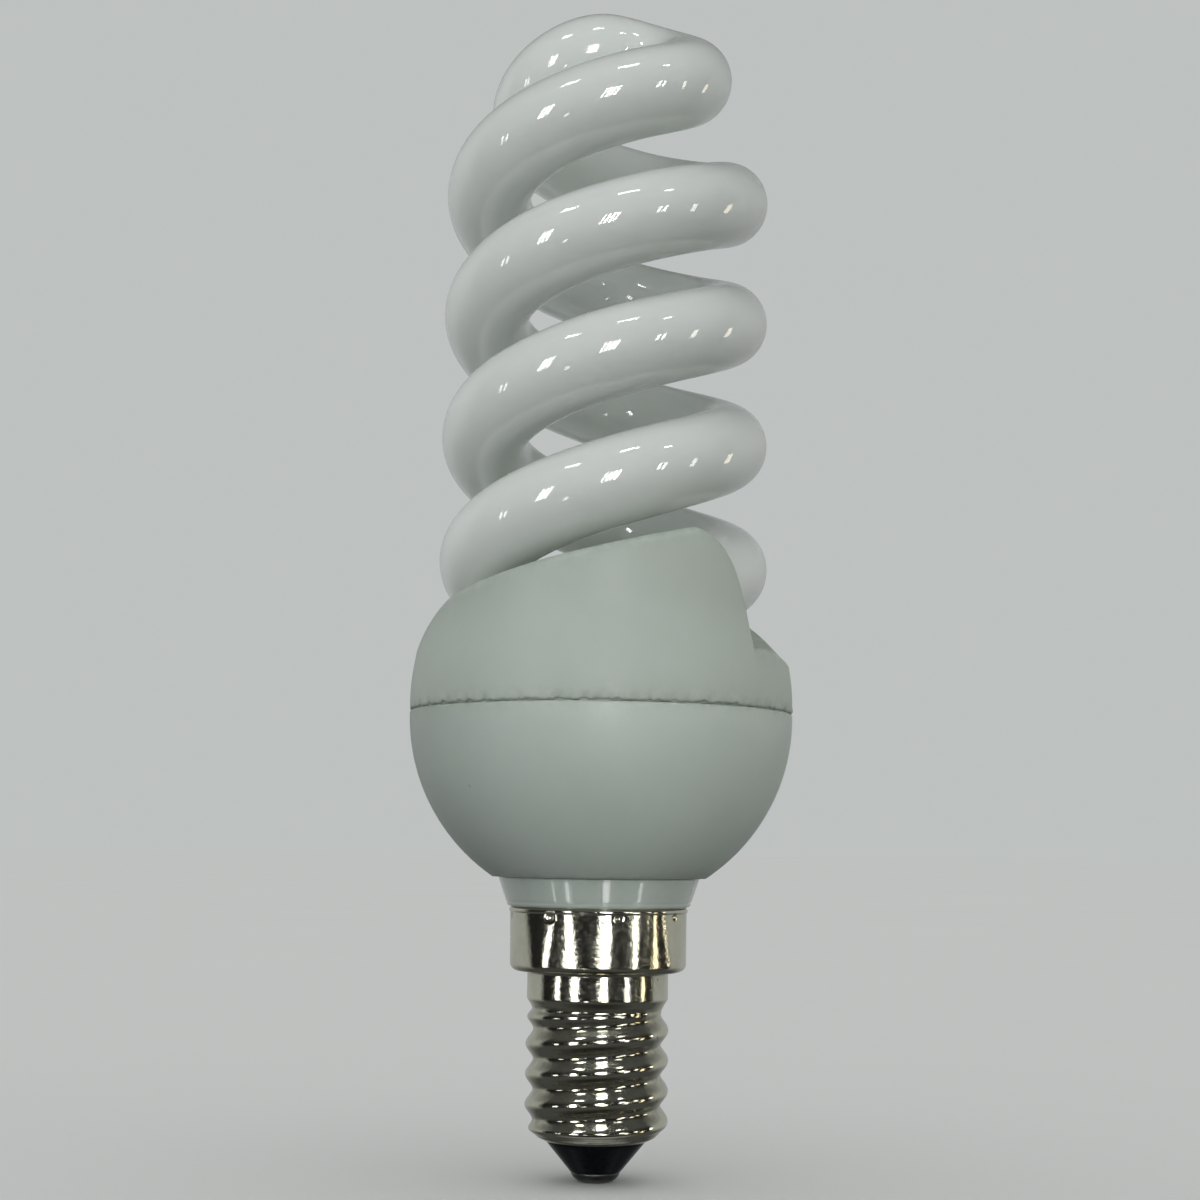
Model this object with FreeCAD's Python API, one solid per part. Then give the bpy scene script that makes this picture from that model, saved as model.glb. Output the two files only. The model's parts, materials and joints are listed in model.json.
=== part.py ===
import FreeCAD, Part

import math
import os

# Spiral energy saving bulb with a small Edison screw cap of 14 mm. Millimetres, +Z up along the lamp's
# axis, origin at the middle of the centre contact's end face. Angles are in degrees about +Z from +X.

# Cap: centre contact, glass insulator and rolled sheet shell
contact_radius = 2.05
contact_land_radius = 1.0
contact_height = 0.75
contact_rim = 0.2
contact_bulge = 0.25
eyelet_radius = 0.9
eyelet_bore = 0.45
eyelet_length = 3.2
insulator_fit = 0.05
insulator_radius = 4.35
insulator_cone_height = 2.45
insulator_seat_height = 1.1
insulator_flange_height = 1.0
sheet = 0.35
thread_major_radius = 6.8
thread_minor_radius = 6.1
thread_pitch = 2.822
thread_width = 1.88
thread_end_gap = 0.05
shell_end_bulge = 0.25
collar_radius = 6.7
collar_taper = 0.5
collar_start = 16.4
skirt_radius = 8.4
skirt_floor = 19.5
skirt_height = 5.5
skirt_corner = 0.7

# Lower housing: spigot in the skirt, neck and the ball's lower half
spigot_clearance = 0.1
spigot_wall = 1.1
neck_gap = 0.5
neck_height = 2.8
neck_low_radius = 8.9
neck_top_radius = 9.55
neck_edge_round = 0.5
ball_ledge = 0.67
ball_wall = 1.3
ball_low_centre = 0.35
rib_count = 4
rib_width = 1.6
rib_depth = 1.6
rib_height = 4.0
rib_first_angle = 20.0

# Upper cover: ball's upper half, two helical ramps with stepped ends, and the hub between them
shoulder_ledge = 1.2
band_height = 1.05
cover_wall = 1.0
roof_wall = 1.0
ramp_gap = 1.9
ramp_dip = 1.4
ramp_dip_angle = 70.0
ramp_dip_power = 4
ramp_points = 16
step_angle = -34.0
shoulder_round_angle = 22.0
shoulder_round_height = 11.0
shoulder_round_end = 78.0
shoulder_points = 8
step_wall_angle = 6.0
hub_clearance = 1.3
hub_rise = 7.5
lip_clearance = 0.2
lip_wall = 1.2
lip_height = 2.1

# Discharge tube: two arms wound as a right-handed double spiral, joined by a bridge across the axis
tube_radius = 4.15
coil_radius = 11.75
coil_lead = 24.45
arm_start_angle = -75.0
arm_tip_angle = 739.0
arm_base_rise = 14.3
tip_flattening = 12.0
bridge_angle = 90.0
bridge_rise = 2.5
direction_step = 1.0
station_angle = 18.0
faces_per_arm = 5
room_clearance = 0.3
socket_clearance = 0.25
socket_run = 80.0
cement_start = 12.0
cement_run = 16.0
cement_thickness = 1.6
cement_gap = 0.02

# Circuit board and what is soldered to it
board_thickness = 1.6
board_clearance = 0.5
electrolytic_radius = 4.0
electrolytic_length = 12.0
electrolytic_offset = 2.4
electrolytic_groove = 0.3
electrolytic_groove_height = 2.0
choke_spacing = 0.2
choke_length = 9.0
choke_leg = 1.6
choke_centre_leg = 2.4
choke_window = 2.2
choke_thickness = 4.6
choke_clearance = 0.1
bobbin_wall = 0.5
bobbin_flange = 1.5
winding_recess = 0.25
driver_radius = 4.4
driver_bore = 2.4
driver_height = 3.2
driver_winding = 0.5
driver_winding_angle = 70.0
driver_winding_count = 3
transistor_radius = 2.3
transistor_height = 4.6
transistor_flat = 1.0
transistor_stand = 1.4
transistor_x = 4.5
transistor_y = 9.5
leg_pitch = 1.27
leg_radius = 0.25
film_length = 7.0
film_width = 2.6
film_height = 5.2
film_round = 0.5
film_spacing = 9.5
film_shift = 3.0
film_end_x = 10.5
diode_radius = 1.2
diode_length = 4.2
diode_count = 4
diode_spacing = 3.0
diode_x = 9.5
diac_radius = 0.95
diac_length = 3.6
diac_y = 8.0
resistor_radius = 1.1
resistor_length = 5.0
resistor_count = 3
resistor_spacing = 4.0
resistor_x = 9.2
axial_stand = 0.3
axial_overhang = 1.3
axial_bend = 0.6
axial_lead_radius = 0.3
fuse_radius = 1.5
fuse_length = 7.0
fuse_rise = 2.0
post_side = 0.9
post_height = 4.0
wire_radius = 0.35
wire_bend = 1.2
wire_clearance = 0.9
wire_slant = 6.0
filament_spread = 1.8
filament_gap = 0.05
filament_run = 2.6

# Derived levels and radii
contact_top = contact_height + contact_rim
cone_top = contact_top + insulator_cone_height
shell_inner = thread_minor_radius - sheet
skirt_inner = skirt_radius - sheet
skirt_seat = skirt_floor + sheet
skirt_top = skirt_floor + skirt_height
spigot_radius = skirt_inner - spigot_clearance
spigot_bore = spigot_radius - spigot_wall
neck_base = skirt_top + neck_gap
neck_top = neck_base + neck_height
socket_radius = tube_radius + socket_clearance
shoulder_inner = coil_radius + tube_radius + room_clearance
shoulder_radius = shoulder_inner + cover_wall
ball_radius = shoulder_radius + shoulder_ledge
ball_inner = ball_radius - ball_wall
ball_bottom_radius = neck_top_radius + ball_ledge
low_centre = neck_top + math.sqrt(ball_radius ** 2 - ball_bottom_radius ** 2)
seam_height = low_centre + ball_low_centre
high_centre = seam_height + band_height
lip_radius = ball_inner - lip_clearance
lip_bottom = seam_height - lip_height
board_top = lip_bottom
board_bottom = board_top - board_thickness
board_radius = math.sqrt(ball_inner ** 2 - (low_centre - board_bottom) ** 2) - board_clearance
arm_base = seam_height + arm_base_rise
lead_per_degree = coil_lead / 360.0
tube_half_height = tube_radius / math.cos(math.atan(coil_lead / (2.0 * math.pi * coil_radius)))
hub_radius = coil_radius - tube_radius - hub_clearance
ramp_low = arm_base + lead_per_degree * step_angle - tube_half_height - ramp_gap - ramp_dip
well_radius = hub_radius - cover_wall
hub_top = ramp_low + hub_rise
cover_top = ramp_low + coil_lead
big = 1.5 * ball_radius

axis = FreeCAD.Vector(0, 0, 1)
origin = FreeCAD.Vector(0, 0, 0)
parts = {}


def at(radius, angle, height):
    """Point at a radius, an angle in degrees and a height."""
    turn = math.radians(angle)
    return FreeCAD.Vector(radius * math.cos(turn), radius * math.sin(turn), height)


def turned(outline):
    """Solid of revolution about the axis from points (radius, height) and three-point arcs.

    An arc is a pair of points: one on the arc, then its end.
    """
    edges = []
    last = FreeCAD.Vector(outline[0][0], 0, outline[0][1])
    for step in outline[1:] + [outline[0]]:
        if isinstance(step[0], tuple):
            middle = FreeCAD.Vector(step[0][0], 0, step[0][1])
            end = FreeCAD.Vector(step[1][0], 0, step[1][1])
            edges.append(Part.Arc(last, middle, end).toShape())
        else:
            end = FreeCAD.Vector(step[0], 0, step[1])
            edges.append(Part.makeLine(last, end))
        last = end
    wire = Part.Wire(edges)
    return Part.Face(wire).revolve(origin, axis, 360)


def cylinder(radius, low, high, x=0.0, y=0.0):
    """Upright cylinder between two heights."""
    return Part.makeCylinder(radius, high - low, FreeCAD.Vector(x, y, low), axis)


def block(length, width, low, high, x=0.0, y=0.0):
    """Upright block centred on x and y between two heights."""
    corner = FreeCAD.Vector(x - length / 2.0, y - width / 2.0, low)
    return Part.makeBox(length, width, high - low, corner)


def placed(shape, angle, x=0.0, y=0.0):
    """The shape turned about the axis and then moved."""
    copy = shape.copy()
    copy.rotate(origin, axis, angle)
    copy.translate(FreeCAD.Vector(x, y, 0))
    return copy


def on_ball(radius, centre, height):
    """Radius at a height of a ball centred on the axis."""
    return math.sqrt(radius ** 2 - (height - centre) ** 2)


def ball_arc(radius, centre, low, high):
    """Arc of a ball's outline between two heights, going from low to high."""
    middle = (low + high) / 2.0
    return (
        (on_ball(radius, centre, middle), middle),
        (on_ball(radius, centre, high), high),
    )


def corner_arc(x, z, radius, start, end):
    """Quarter arc about (x, z) between two angles in the outline's plane."""
    middle = math.radians((start + end) / 2.0)
    stop = math.radians(end)
    return (
        (x + radius * math.cos(middle), z + radius * math.sin(middle)),
        (x + radius * math.cos(stop), z + radius * math.sin(stop)),
    )


def bulged(start, end, bulge):
    """Arc from start to end whose middle stands off the chord by the bulge, to the right of its run."""
    run = end[0] - start[0]
    rise = end[1] - start[1]
    chord = math.hypot(run, rise)
    middle = (
        (start[0] + end[0]) / 2.0 + bulge * rise / chord,
        (start[1] + end[1]) / 2.0 - bulge * run / chord,
    )
    return (middle, end)


def arm_point(angle, turn=0.0):
    """Point of an arm's centreline.

    Over the bridge angle it bends along a half circle to the axis, rises by the bridge's own rise and
    flattens at the tip.
    """
    left = arm_tip_angle - angle
    bend = math.radians(90.0 * min(1.0, left / bridge_angle))
    radius = coil_radius * math.sin(bend)
    height = arm_base + lead_per_degree * (arm_tip_angle - math.hypot(left, tip_flattening))
    height += bridge_rise * math.cos(bend) ** 2
    return at(radius, angle + turn, height)


def stations(start, end):
    """Evenly spaced angles from start to end, about one station angle apart."""
    count = max(3, round((end - start) / station_angle))
    return [start + (end - start) * i / count for i in range(count + 1)]


def round_bar(points, radius, spans):
    """Solid round bar through the points: circles square to the path, skinned with one smooth surface.

    Each circle is held by nine weighted corner points, and each of the nine follows its own spline.
    The skin is then cut into spans along the path and halves around it.
    """
    path = Part.BSplineCurve()
    path.interpolate(points)
    steps = [path.parameter(p) for p in points]
    corners = [(1, 0), (1, 1), (0, 1), (-1, 1), (-1, 0), (-1, -1), (0, -1), (1, -1), (1, 0)]
    rings = []
    for point, step in zip(points, steps):
        along = path.tangent(step)[0]
        side = axis.cross(along).normalize()
        up = along.cross(side)
        rings.append([point + side * (radius * a) + up * (radius * b) for a, b in corners])
    tracks = [Part.BSplineCurve() for _ in corners]
    for track, row in zip(tracks, zip(*rings)):
        track.interpolate(Points=list(row), Parameters=steps)
    poles = [list(row) for row in zip(*(track.getPoles() for track in tracks))]
    weights = [[1.0, math.sqrt(0.5)] * 4 + [1.0] for _ in poles]
    skin = Part.BSplineSurface()
    skin.buildFromPolesMultsKnots(
        poles, tracks[0].getMultiplicities(), [3, 2, 2, 2, 3], tracks[0].getKnots(),
        [0.0, 0.25, 0.5, 0.75, 1.0], False, False, 3, 2, weights,
    )
    knots = skin.getUKnots()
    cuts = [knots[round((len(knots) - 1) * i / spans)] for i in range(spans + 1)]
    faces = []
    for low, high in zip(cuts, cuts[1:]):
        for start, end in ((0.0, 0.5), (0.5, 1.0)):
            piece = skin.copy()
            piece.segment(low, high, start, end)
            faces.append(piece.toShape())
    for step in (knots[0], knots[-1]):
        rim = Part.makeCircle(radius, path.value(step), path.tangent(step)[0])
        faces.append(Part.Face(Part.Wire([rim])))
    shell = Part.makeShell(faces)
    shell.sewShape()
    solid = Part.makeSolid(shell)
    if solid.Volume < 0:
        solid.reverse()
    return solid


def arm_bar(start, end, radius, turn):
    """Stretch of one arm as a solid bar, for the parts that fit round the tube."""
    points = [arm_point(angle, turn) for angle in stations(start, end)]
    return round_bar(points, radius, 1)


def spline(points):
    """Smooth edge through the points."""
    curve = Part.BSplineCurve()
    curve.interpolate(points)
    return curve.toShape()


def bent_wire(points, bend, radius):
    """Round wire along straight runs with an arc of the given bend radius at each inner point."""
    edges = []
    last = points[0]
    for before, corner, after in zip(points, points[1:], points[2:]):
        back = (before - corner).normalize()
        ahead = (after - corner).normalize()
        half = back.getAngle(ahead) / 2.0
        reach = bend / math.tan(half)
        start = corner + back * reach
        end = corner + ahead * reach
        inward = (back + ahead).normalize()
        middle = corner + inward * (bend / math.sin(half) - bend)
        edges.append(Part.makeLine(last, start))
        edges.append(Part.Arc(start, middle, end).toShape())
        last = end
    edges.append(Part.makeLine(last, points[-1]))
    path = Part.Wire(edges)
    section = Part.Wire([Part.makeCircle(radius, points[0], points[1] - points[0])])
    return path.makePipeShell([section], True, False)


def make_cap():
    """Centre contact with its eyelet, black glass insulator, and the rolled shell with its thread."""
    contact = turned([
        (0, 0),
        (contact_land_radius, 0),
        bulged((contact_land_radius, 0), (contact_radius, contact_height), contact_bulge),
        (contact_radius, contact_top),
        (eyelet_radius, contact_top),
        (eyelet_radius, contact_top + eyelet_length),
        (0, contact_top + eyelet_length),
    ])
    eyelet_hole = cylinder(eyelet_bore, contact_top, contact_top + eyelet_length)
    parts["centre_contact"] = contact.cut(eyelet_hole)

    seat = insulator_radius + sheet
    seat_top = cone_top + insulator_seat_height
    flange_top = seat_top + insulator_flange_height
    flange_radius = shell_inner - insulator_fit
    hole = eyelet_radius + insulator_fit
    parts["insulator"] = turned([
        (hole, contact_top),
        (contact_radius, contact_top),
        (insulator_radius, cone_top),
        (seat, seat_top),
        (flange_radius, seat_top),
        (flange_radius, flange_top),
        (hole, flange_top),
    ])

    end_inner = insulator_radius + insulator_fit
    tube_low = seat_top - insulator_fit
    thread_low = tube_low + sheet
    sleeve = turned([
        (end_inner, cone_top),
        (end_inner + sheet, cone_top),
        bulged((end_inner + sheet, cone_top), (thread_minor_radius, thread_low), shell_end_bulge),
        (thread_minor_radius, collar_start),
        (collar_radius, collar_start + collar_taper),
        (collar_radius, skirt_floor),
        (skirt_radius - skirt_corner, skirt_floor),
        corner_arc(skirt_radius - skirt_corner, skirt_floor + skirt_corner, skirt_corner, -90, 0),
        (skirt_radius, skirt_top),
        (skirt_inner, skirt_top),
        (skirt_inner, skirt_seat),
        (collar_radius - sheet, skirt_seat),
        (collar_radius - sheet, collar_start + collar_taper),
        (shell_inner, collar_start),
        (shell_inner, tube_low),
        (end_inner + insulator_fit + sheet, tube_low),
    ])
    parts["screw_shell"] = sleeve.fuse(knuckle_thread(thread_low, collar_start))


def knuckle_thread(low, high):
    """Rounded right-handed ridge wound round the shell's plain run between two heights."""
    root = thread_minor_radius - sheet / 2.0
    half = thread_width / 2.0
    first = low + half + thread_end_gap
    last = high - half - thread_end_gap
    helix = Part.makeHelix(thread_pitch, last - first, thread_minor_radius)
    crest = FreeCAD.Vector(thread_major_radius, 0, 0)
    foot = FreeCAD.Vector(root, 0, -half)
    head = FreeCAD.Vector(root, 0, half)
    outline = Part.Wire([Part.Arc(foot, crest, head).toShape(), Part.makeLine(head, foot)])
    ridge = Part.Wire(helix.Edges).makePipeShell([outline], True, True)
    ridge.translate(FreeCAD.Vector(0, 0, first))
    return ridge


def make_lower_housing():
    """Moulded lower half: spigot in the skirt, smooth neck, ball, and ribs that carry the board."""
    bore_top = neck_top + ball_wall
    outer = turned([
        (0, skirt_seat),
        (spigot_radius, skirt_seat),
        (spigot_radius, neck_base),
        (neck_low_radius - neck_edge_round, neck_base),
        corner_arc(neck_low_radius - neck_edge_round, neck_base + neck_edge_round, neck_edge_round, -90, 0),
        (neck_top_radius, neck_top),
        (ball_bottom_radius, neck_top),
        ball_arc(ball_radius, low_centre, neck_top, low_centre),
        (ball_radius, seam_height),
        (0, seam_height),
    ])
    room = turned([
        (0, bore_top),
        (on_ball(ball_inner, low_centre, bore_top), bore_top),
        ball_arc(ball_inner, low_centre, bore_top, low_centre),
        (ball_inner, seam_height),
        (0, seam_height),
    ])
    shell = outer.cut(room).cut(cylinder(spigot_bore, skirt_seat, bore_top))
    ribs = []
    for i in range(rib_count):
        rib = block(big, rib_width, board_bottom - rib_height, board_bottom, big / 2.0)
        inner = board_radius - rib_depth
        rib = rib.cut(cylinder(inner, board_bottom - rib_height, board_bottom))
        rib = placed(rib, rib_first_angle + 360.0 * i / rib_count)
        ribs.append(rib.common(outer))
    parts["lower_housing"] = shell.fuse(ribs)


def ramp_height(along):
    """Height of a ramp at an angle along it from its step: under the tube by the gap, lower at its start."""
    dip = ramp_dip * max(0.0, 1.0 - (along / ramp_dip_angle) ** ramp_dip_power)
    return arm_base + lead_per_degree * (step_angle + along) - tube_half_height - ramp_gap - dip


def roof_cutters(inner, outer):
    """Solids above the two ramps and above their rounded ends, between two radii."""
    run = 180.0 - shoulder_round_angle
    ramp = []
    for i in range(ramp_points + 1):
        along = run * i / ramp_points
        ramp.append((along, ramp_height(along)))
    crest = ramp_height(run)
    stop = math.radians(shoulder_round_end)
    rounded = []
    for i in range(shoulder_points + 1):
        turn = stop * i / shoulder_points
        along = run + shoulder_round_angle * math.sin(turn) / math.sin(stop)
        rounded.append((along, crest - shoulder_round_height * (1.0 - math.cos(turn))))
    cutters = []
    for line in (ramp, rounded):
        edges = [spline([at(r, step_angle + a, z) for a, z in line]) for r in (inner, outer)]
        cutter = Part.makeRuledSurface(edges[0], edges[1]).extrude(axis * 2.0 * coil_lead)
        cutters.append(cutter)
        cutters.append(placed(cutter, 180.0))
    return cutters


def make_upper_cover():
    """Moulded upper half: lip, ball, helical ramps under the tube, hub, and tube sockets in the steps."""
    shoulder_height = high_centre + on_ball(ball_radius, 0, shoulder_radius)
    cover = turned([
        (0, lip_bottom),
        (lip_radius, lip_bottom),
        (lip_radius, seam_height),
        (ball_radius, seam_height),
        (ball_radius, high_centre),
        ball_arc(ball_radius, high_centre, high_centre, shoulder_height),
        (shoulder_radius, cover_top),
        (well_radius, cover_top),
        (well_radius, hub_top),
        (0, hub_top),
    ])
    cutters = roof_cutters(well_radius - cover_wall, big)
    for cutter in cutters:
        cover = cover.cut(cutter)
    cover = cover.fuse(cylinder(hub_radius, lip_bottom, hub_top))

    room_top = ramp_low - roof_wall
    room = turned([
        (0, lip_bottom),
        (lip_radius - lip_wall, lip_bottom),
        (lip_radius - lip_wall, seam_height + lip_wall),
        (ball_inner, seam_height + lip_wall),
        ball_arc(ball_inner, high_centre, seam_height + lip_wall, room_top),
        (0, room_top),
    ])
    hub_room = cylinder(hub_radius - cover_wall, lip_bottom, hub_top - roof_wall)
    tube_room = cylinder(shoulder_inner, seam_height + lip_wall, cover_top)
    tube_room = tube_room.cut(cylinder(hub_radius + cover_wall, seam_height, cover_top))
    lowering = axis * -(roof_wall + lead_per_degree * step_wall_angle)
    for cutter in cutters:
        inner_cutter = placed(cutter, -step_wall_angle)
        inner_cutter.translate(lowering)
        tube_room = tube_room.cut(inner_cutter)
    for hollow in (room, hub_room, tube_room):
        cover = cover.cut(hollow)
    for turn in (0.0, 180.0):
        cover = cover.cut(arm_bar(arm_start_angle, arm_start_angle + socket_run, socket_radius, turn))
    parts["upper_cover"] = cover
    return tube_room


def make_tube(tube_room):
    """The filled discharge tube, and the cement that holds each end inside the cover."""
    arm = stations(arm_start_angle, arm_tip_angle)
    points = [arm_point(a) for a in arm]
    points += [arm_point(a, 180.0) for a in reversed(arm[:-1])]
    parts["glass_tube"] = round_bar(points, tube_radius, 2 * faces_per_arm)
    start = arm_start_angle + cement_start
    end = start + cement_run
    for number, turn in ((1, 0.0), (2, 180.0)):
        bead = arm_bar(start, end, tube_radius + cement_thickness, turn)
        bore = arm_bar(start - station_angle, end + station_angle, tube_radius + cement_gap, turn)
        parts[f"tube_cement_{number}"] = bead.cut(bore).common(tube_room)


def axial_part(radius, length, x, y):
    """Axial component lying along X on the board's top, with its leads bent down to it, as one solid."""
    half = length / 2.0 + axial_overhang
    rise = board_top + axial_stand + radius
    start = FreeCAD.Vector(x - length / 2.0, y, rise)
    body = Part.makeCylinder(radius, length, start, FreeCAD.Vector(1, 0, 0))
    lead = bent_wire(
        [
            FreeCAD.Vector(x - half, y, board_top),
            FreeCAD.Vector(x - half, y, rise),
            FreeCAD.Vector(x + half, y, rise),
            FreeCAD.Vector(x + half, y, board_top),
        ],
        axial_bend,
        axial_lead_radius,
    )
    return body.fuse(lead)


def make_choke():
    """Ferrite choke under the board: core of two Es, bobbin on its centre leg, and the winding."""
    inner_length = choke_length - 2.0 * choke_leg
    core_width = choke_centre_leg + 2.0 * (choke_window + choke_leg)
    bore_width = choke_centre_leg + 2.0 * choke_clearance
    bore_height = choke_thickness + 2.0 * choke_clearance
    tube_width = bore_width + 2.0 * bobbin_wall
    tube_height = bore_height + 2.0 * bobbin_wall
    flange_width = choke_centre_leg + 2.0 * (choke_window - choke_clearance)
    flange_height = tube_height + 2.0 * bobbin_flange
    bobbin_length = inner_length - 2.0 * choke_clearance
    middle = board_bottom - flange_height / 2.0
    choke_x = electrolytic_radius - electrolytic_offset + choke_spacing + choke_length / 2.0

    def bar(length, width, height, x=choke_x, y=0.0):
        return block(length, width, middle - height / 2.0, middle + height / 2.0, x, y)

    core = bar(choke_length, core_width, choke_thickness)
    window_y = (choke_centre_leg + choke_window) / 2.0
    for y in (-window_y, window_y):
        core = core.cut(bar(inner_length, choke_window, choke_thickness, y=y))
    parts["choke_core"] = core

    bobbin = bar(bobbin_length, tube_width, tube_height)
    reach = (bobbin_length - bobbin_wall) / 2.0
    for x in (choke_x - reach, choke_x + reach):
        bobbin = bobbin.fuse(bar(bobbin_wall, flange_width, flange_height, x))
    parts["choke_bobbin"] = bobbin.cut(bar(bobbin_length, bore_width, bore_height)).removeSplitter()

    winding_length = bobbin_length - 2.0 * bobbin_wall
    winding = bar(winding_length, flange_width - 2.0 * winding_recess, flange_height - 2.0 * winding_recess)
    long_edges = [e for e in winding.Edges if e.BoundBox.XLength > e.BoundBox.YLength + e.BoundBox.ZLength]
    winding = winding.makeFillet(bobbin_wall, long_edges)
    parts["choke_winding"] = winding.cut(bar(winding_length, tube_width, tube_height))


def make_board_parts():
    """Round board on the housing's ribs, with its components above and below."""
    parts["circuit_board"] = cylinder(board_radius, board_bottom, board_top)
    make_choke()

    can_end = board_bottom - electrolytic_length
    groove = board_bottom - electrolytic_groove_height
    groove_low = (electrolytic_radius, groove - electrolytic_groove)
    groove_high = (electrolytic_radius, groove + electrolytic_groove)
    can = turned([
        (0, can_end),
        (electrolytic_radius, can_end),
        groove_low,
        bulged(groove_low, groove_high, -electrolytic_groove),
        (electrolytic_radius, board_bottom),
        (0, board_bottom),
    ])
    parts["electrolytic_capacitor"] = placed(can, 0.0, -electrolytic_offset)

    film = block(film_length, film_width, board_bottom - film_height, board_bottom)
    free_edges = [e for e in film.Edges if e.CenterOfMass.z < board_bottom - film_round]
    film = film.makeFillet(film_round, free_edges)
    parts["resonant_capacitor"] = placed(film, 0.0, -film_shift, film_spacing)
    parts["coupling_capacitor"] = placed(film, 0.0, -film_shift, -film_spacing)
    parts["filter_capacitor"] = placed(film, 90.0, -film_end_x)

    core_low = board_top + driver_winding
    core_high = core_low + driver_height
    parts["driver_core"] = cylinder(driver_radius, core_low, core_high).cut(
        cylinder(driver_bore, core_low, core_high)
    )
    sleeve = cylinder(driver_radius + driver_winding, board_top, core_high + driver_winding)
    sleeve = sleeve.cut(cylinder(driver_bore - driver_winding, board_top, core_high + driver_winding))
    sleeve = sleeve.cut(parts["driver_core"])
    sector = Part.makeCylinder(big, core_high + driver_winding, origin, axis, driver_winding_angle)
    coil = sleeve.common(sector)
    coils = [placed(coil, 360.0 * i / driver_winding_count) for i in range(driver_winding_count)]
    parts["driver_windings"] = Part.makeCompound(coils)

    case_top = board_bottom - transistor_stand
    case = cylinder(transistor_radius, case_top - transistor_height, case_top)
    case = case.cut(block(big, big, case_top - transistor_height, case_top, 0.0, transistor_flat + big / 2.0))
    for x in (-leg_pitch, 0.0, leg_pitch):
        case = case.fuse(cylinder(leg_radius, case_top - transistor_stand, board_bottom, x))
    parts["transistor_1"] = placed(case, 0.0, transistor_x, transistor_y)
    parts["transistor_2"] = placed(case, 180.0, transistor_x, -transistor_y)

    for i in range(diode_count):
        y = diode_spacing * (i - (diode_count - 1) / 2.0)
        parts[f"diode_{i + 1}"] = axial_part(diode_radius, diode_length, -diode_x, y)
    for i in range(resistor_count):
        y = resistor_spacing * (i - (resistor_count - 1) / 2.0)
        parts[f"resistor_{i + 1}"] = axial_part(resistor_radius, resistor_length, resistor_x, y)
    parts["diac"] = axial_part(diac_radius, diac_length, 0.0, diac_y)


def make_wires():
    """Fuse resistor and leads in the cap, and the filament leads from the tube's ends to their posts."""
    fuse_low = contact_top + eyelet_length + fuse_rise
    fuse_high = fuse_low + fuse_length
    parts["fuse_resistor"] = cylinder(fuse_radius, fuse_low, fuse_high)
    parts["contact_lead"] = cylinder(wire_radius, contact_top, fuse_low)
    side = electrolytic_radius + wire_clearance + wire_radius
    parts["fuse_lead"] = bent_wire(
        [
            FreeCAD.Vector(0, 0, fuse_high),
            FreeCAD.Vector(0, 0, skirt_seat),
            FreeCAD.Vector(0, side, skirt_seat + side),
            FreeCAD.Vector(0, side, board_bottom),
        ],
        wire_bend,
        wire_radius,
    )
    joint_y = collar_radius - sheet - wire_radius
    joint_z = (collar_start + collar_taper + skirt_floor) / 2.0
    parts["shell_lead"] = bent_wire(
        [
            FreeCAD.Vector(0, -side, board_bottom),
            FreeCAD.Vector(0, -side, joint_z + wire_slant),
            FreeCAD.Vector(0, -joint_y, joint_z),
        ],
        wire_bend,
        wire_radius,
    )
    post_top = board_top + post_height
    number = 0
    for turn in (0.0, 180.0):
        end = arm_point(arm_start_angle, turn)
        out = (end - arm_point(arm_start_angle + direction_step, turn)).normalize()
        across = axis.cross(out).normalize()
        for offset in (-filament_spread / 2.0, filament_spread / 2.0):
            number += 1
            start = end + across * offset + out * filament_gap
            knee = start + out * filament_run
            foot = FreeCAD.Vector(knee.x, knee.y, post_top)
            parts[f"filament_lead_{number}"] = bent_wire([start, knee, foot], wire_bend, wire_radius)
            parts[f"wire_post_{number}"] = block(post_side, post_side, board_top, post_top, foot.x, foot.y)


make_cap()
make_lower_housing()
make_tube(make_upper_cover())
make_board_parts()
make_wires()

os.makedirs("parts", exist_ok=True)
for name, shape in parts.items():
    shape.exportStep(f"parts/{name}.step")
    print(name, shape.ShapeType, len(shape.Solids), shape.isValid(), round(shape.Volume, 1))
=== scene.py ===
"""Spiral energy saving bulb: finished surfaces, materials, light and camera round the fixed frame.

Lengths are in millimetres until a mesh is made, and angles are in degrees about +Z from +X.
"""
import json
import logging
import math
from dataclasses import dataclass, field
from enum import Enum

import bpy
import numpy as np
from mathutils import Matrix, Vector


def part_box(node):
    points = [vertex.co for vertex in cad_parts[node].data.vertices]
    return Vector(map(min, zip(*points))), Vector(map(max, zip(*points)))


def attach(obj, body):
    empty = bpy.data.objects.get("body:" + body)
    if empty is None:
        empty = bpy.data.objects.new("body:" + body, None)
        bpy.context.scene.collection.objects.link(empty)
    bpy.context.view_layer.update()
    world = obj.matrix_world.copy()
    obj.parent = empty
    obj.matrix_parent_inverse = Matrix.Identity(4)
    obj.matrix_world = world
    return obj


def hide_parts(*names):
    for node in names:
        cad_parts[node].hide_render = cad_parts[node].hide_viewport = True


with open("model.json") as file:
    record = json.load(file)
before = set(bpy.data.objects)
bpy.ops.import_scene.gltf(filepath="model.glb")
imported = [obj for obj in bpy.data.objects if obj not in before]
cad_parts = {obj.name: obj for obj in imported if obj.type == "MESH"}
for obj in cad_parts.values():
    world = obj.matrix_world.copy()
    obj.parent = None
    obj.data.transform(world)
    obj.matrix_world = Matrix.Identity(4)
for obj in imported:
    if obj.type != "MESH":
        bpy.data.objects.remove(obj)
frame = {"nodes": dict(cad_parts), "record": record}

MM = 0.001
BODY = "root"
LOG = logging.getLogger("bulb")
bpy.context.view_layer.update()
FRONT = -90.0
GLOSS = "gloss"
# Attribute name for the darkening in seams, creases, thread valleys and under the tube: painted shade, with
# uneven dirt.
SHADE_AND_DIRT = "shade_and_dirt"

Array = np.ndarray
Point = tuple[float, float]
Span = tuple[float, float]
Colour = tuple[float, float, float]
Waves = tuple[tuple[int, float], ...]


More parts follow.
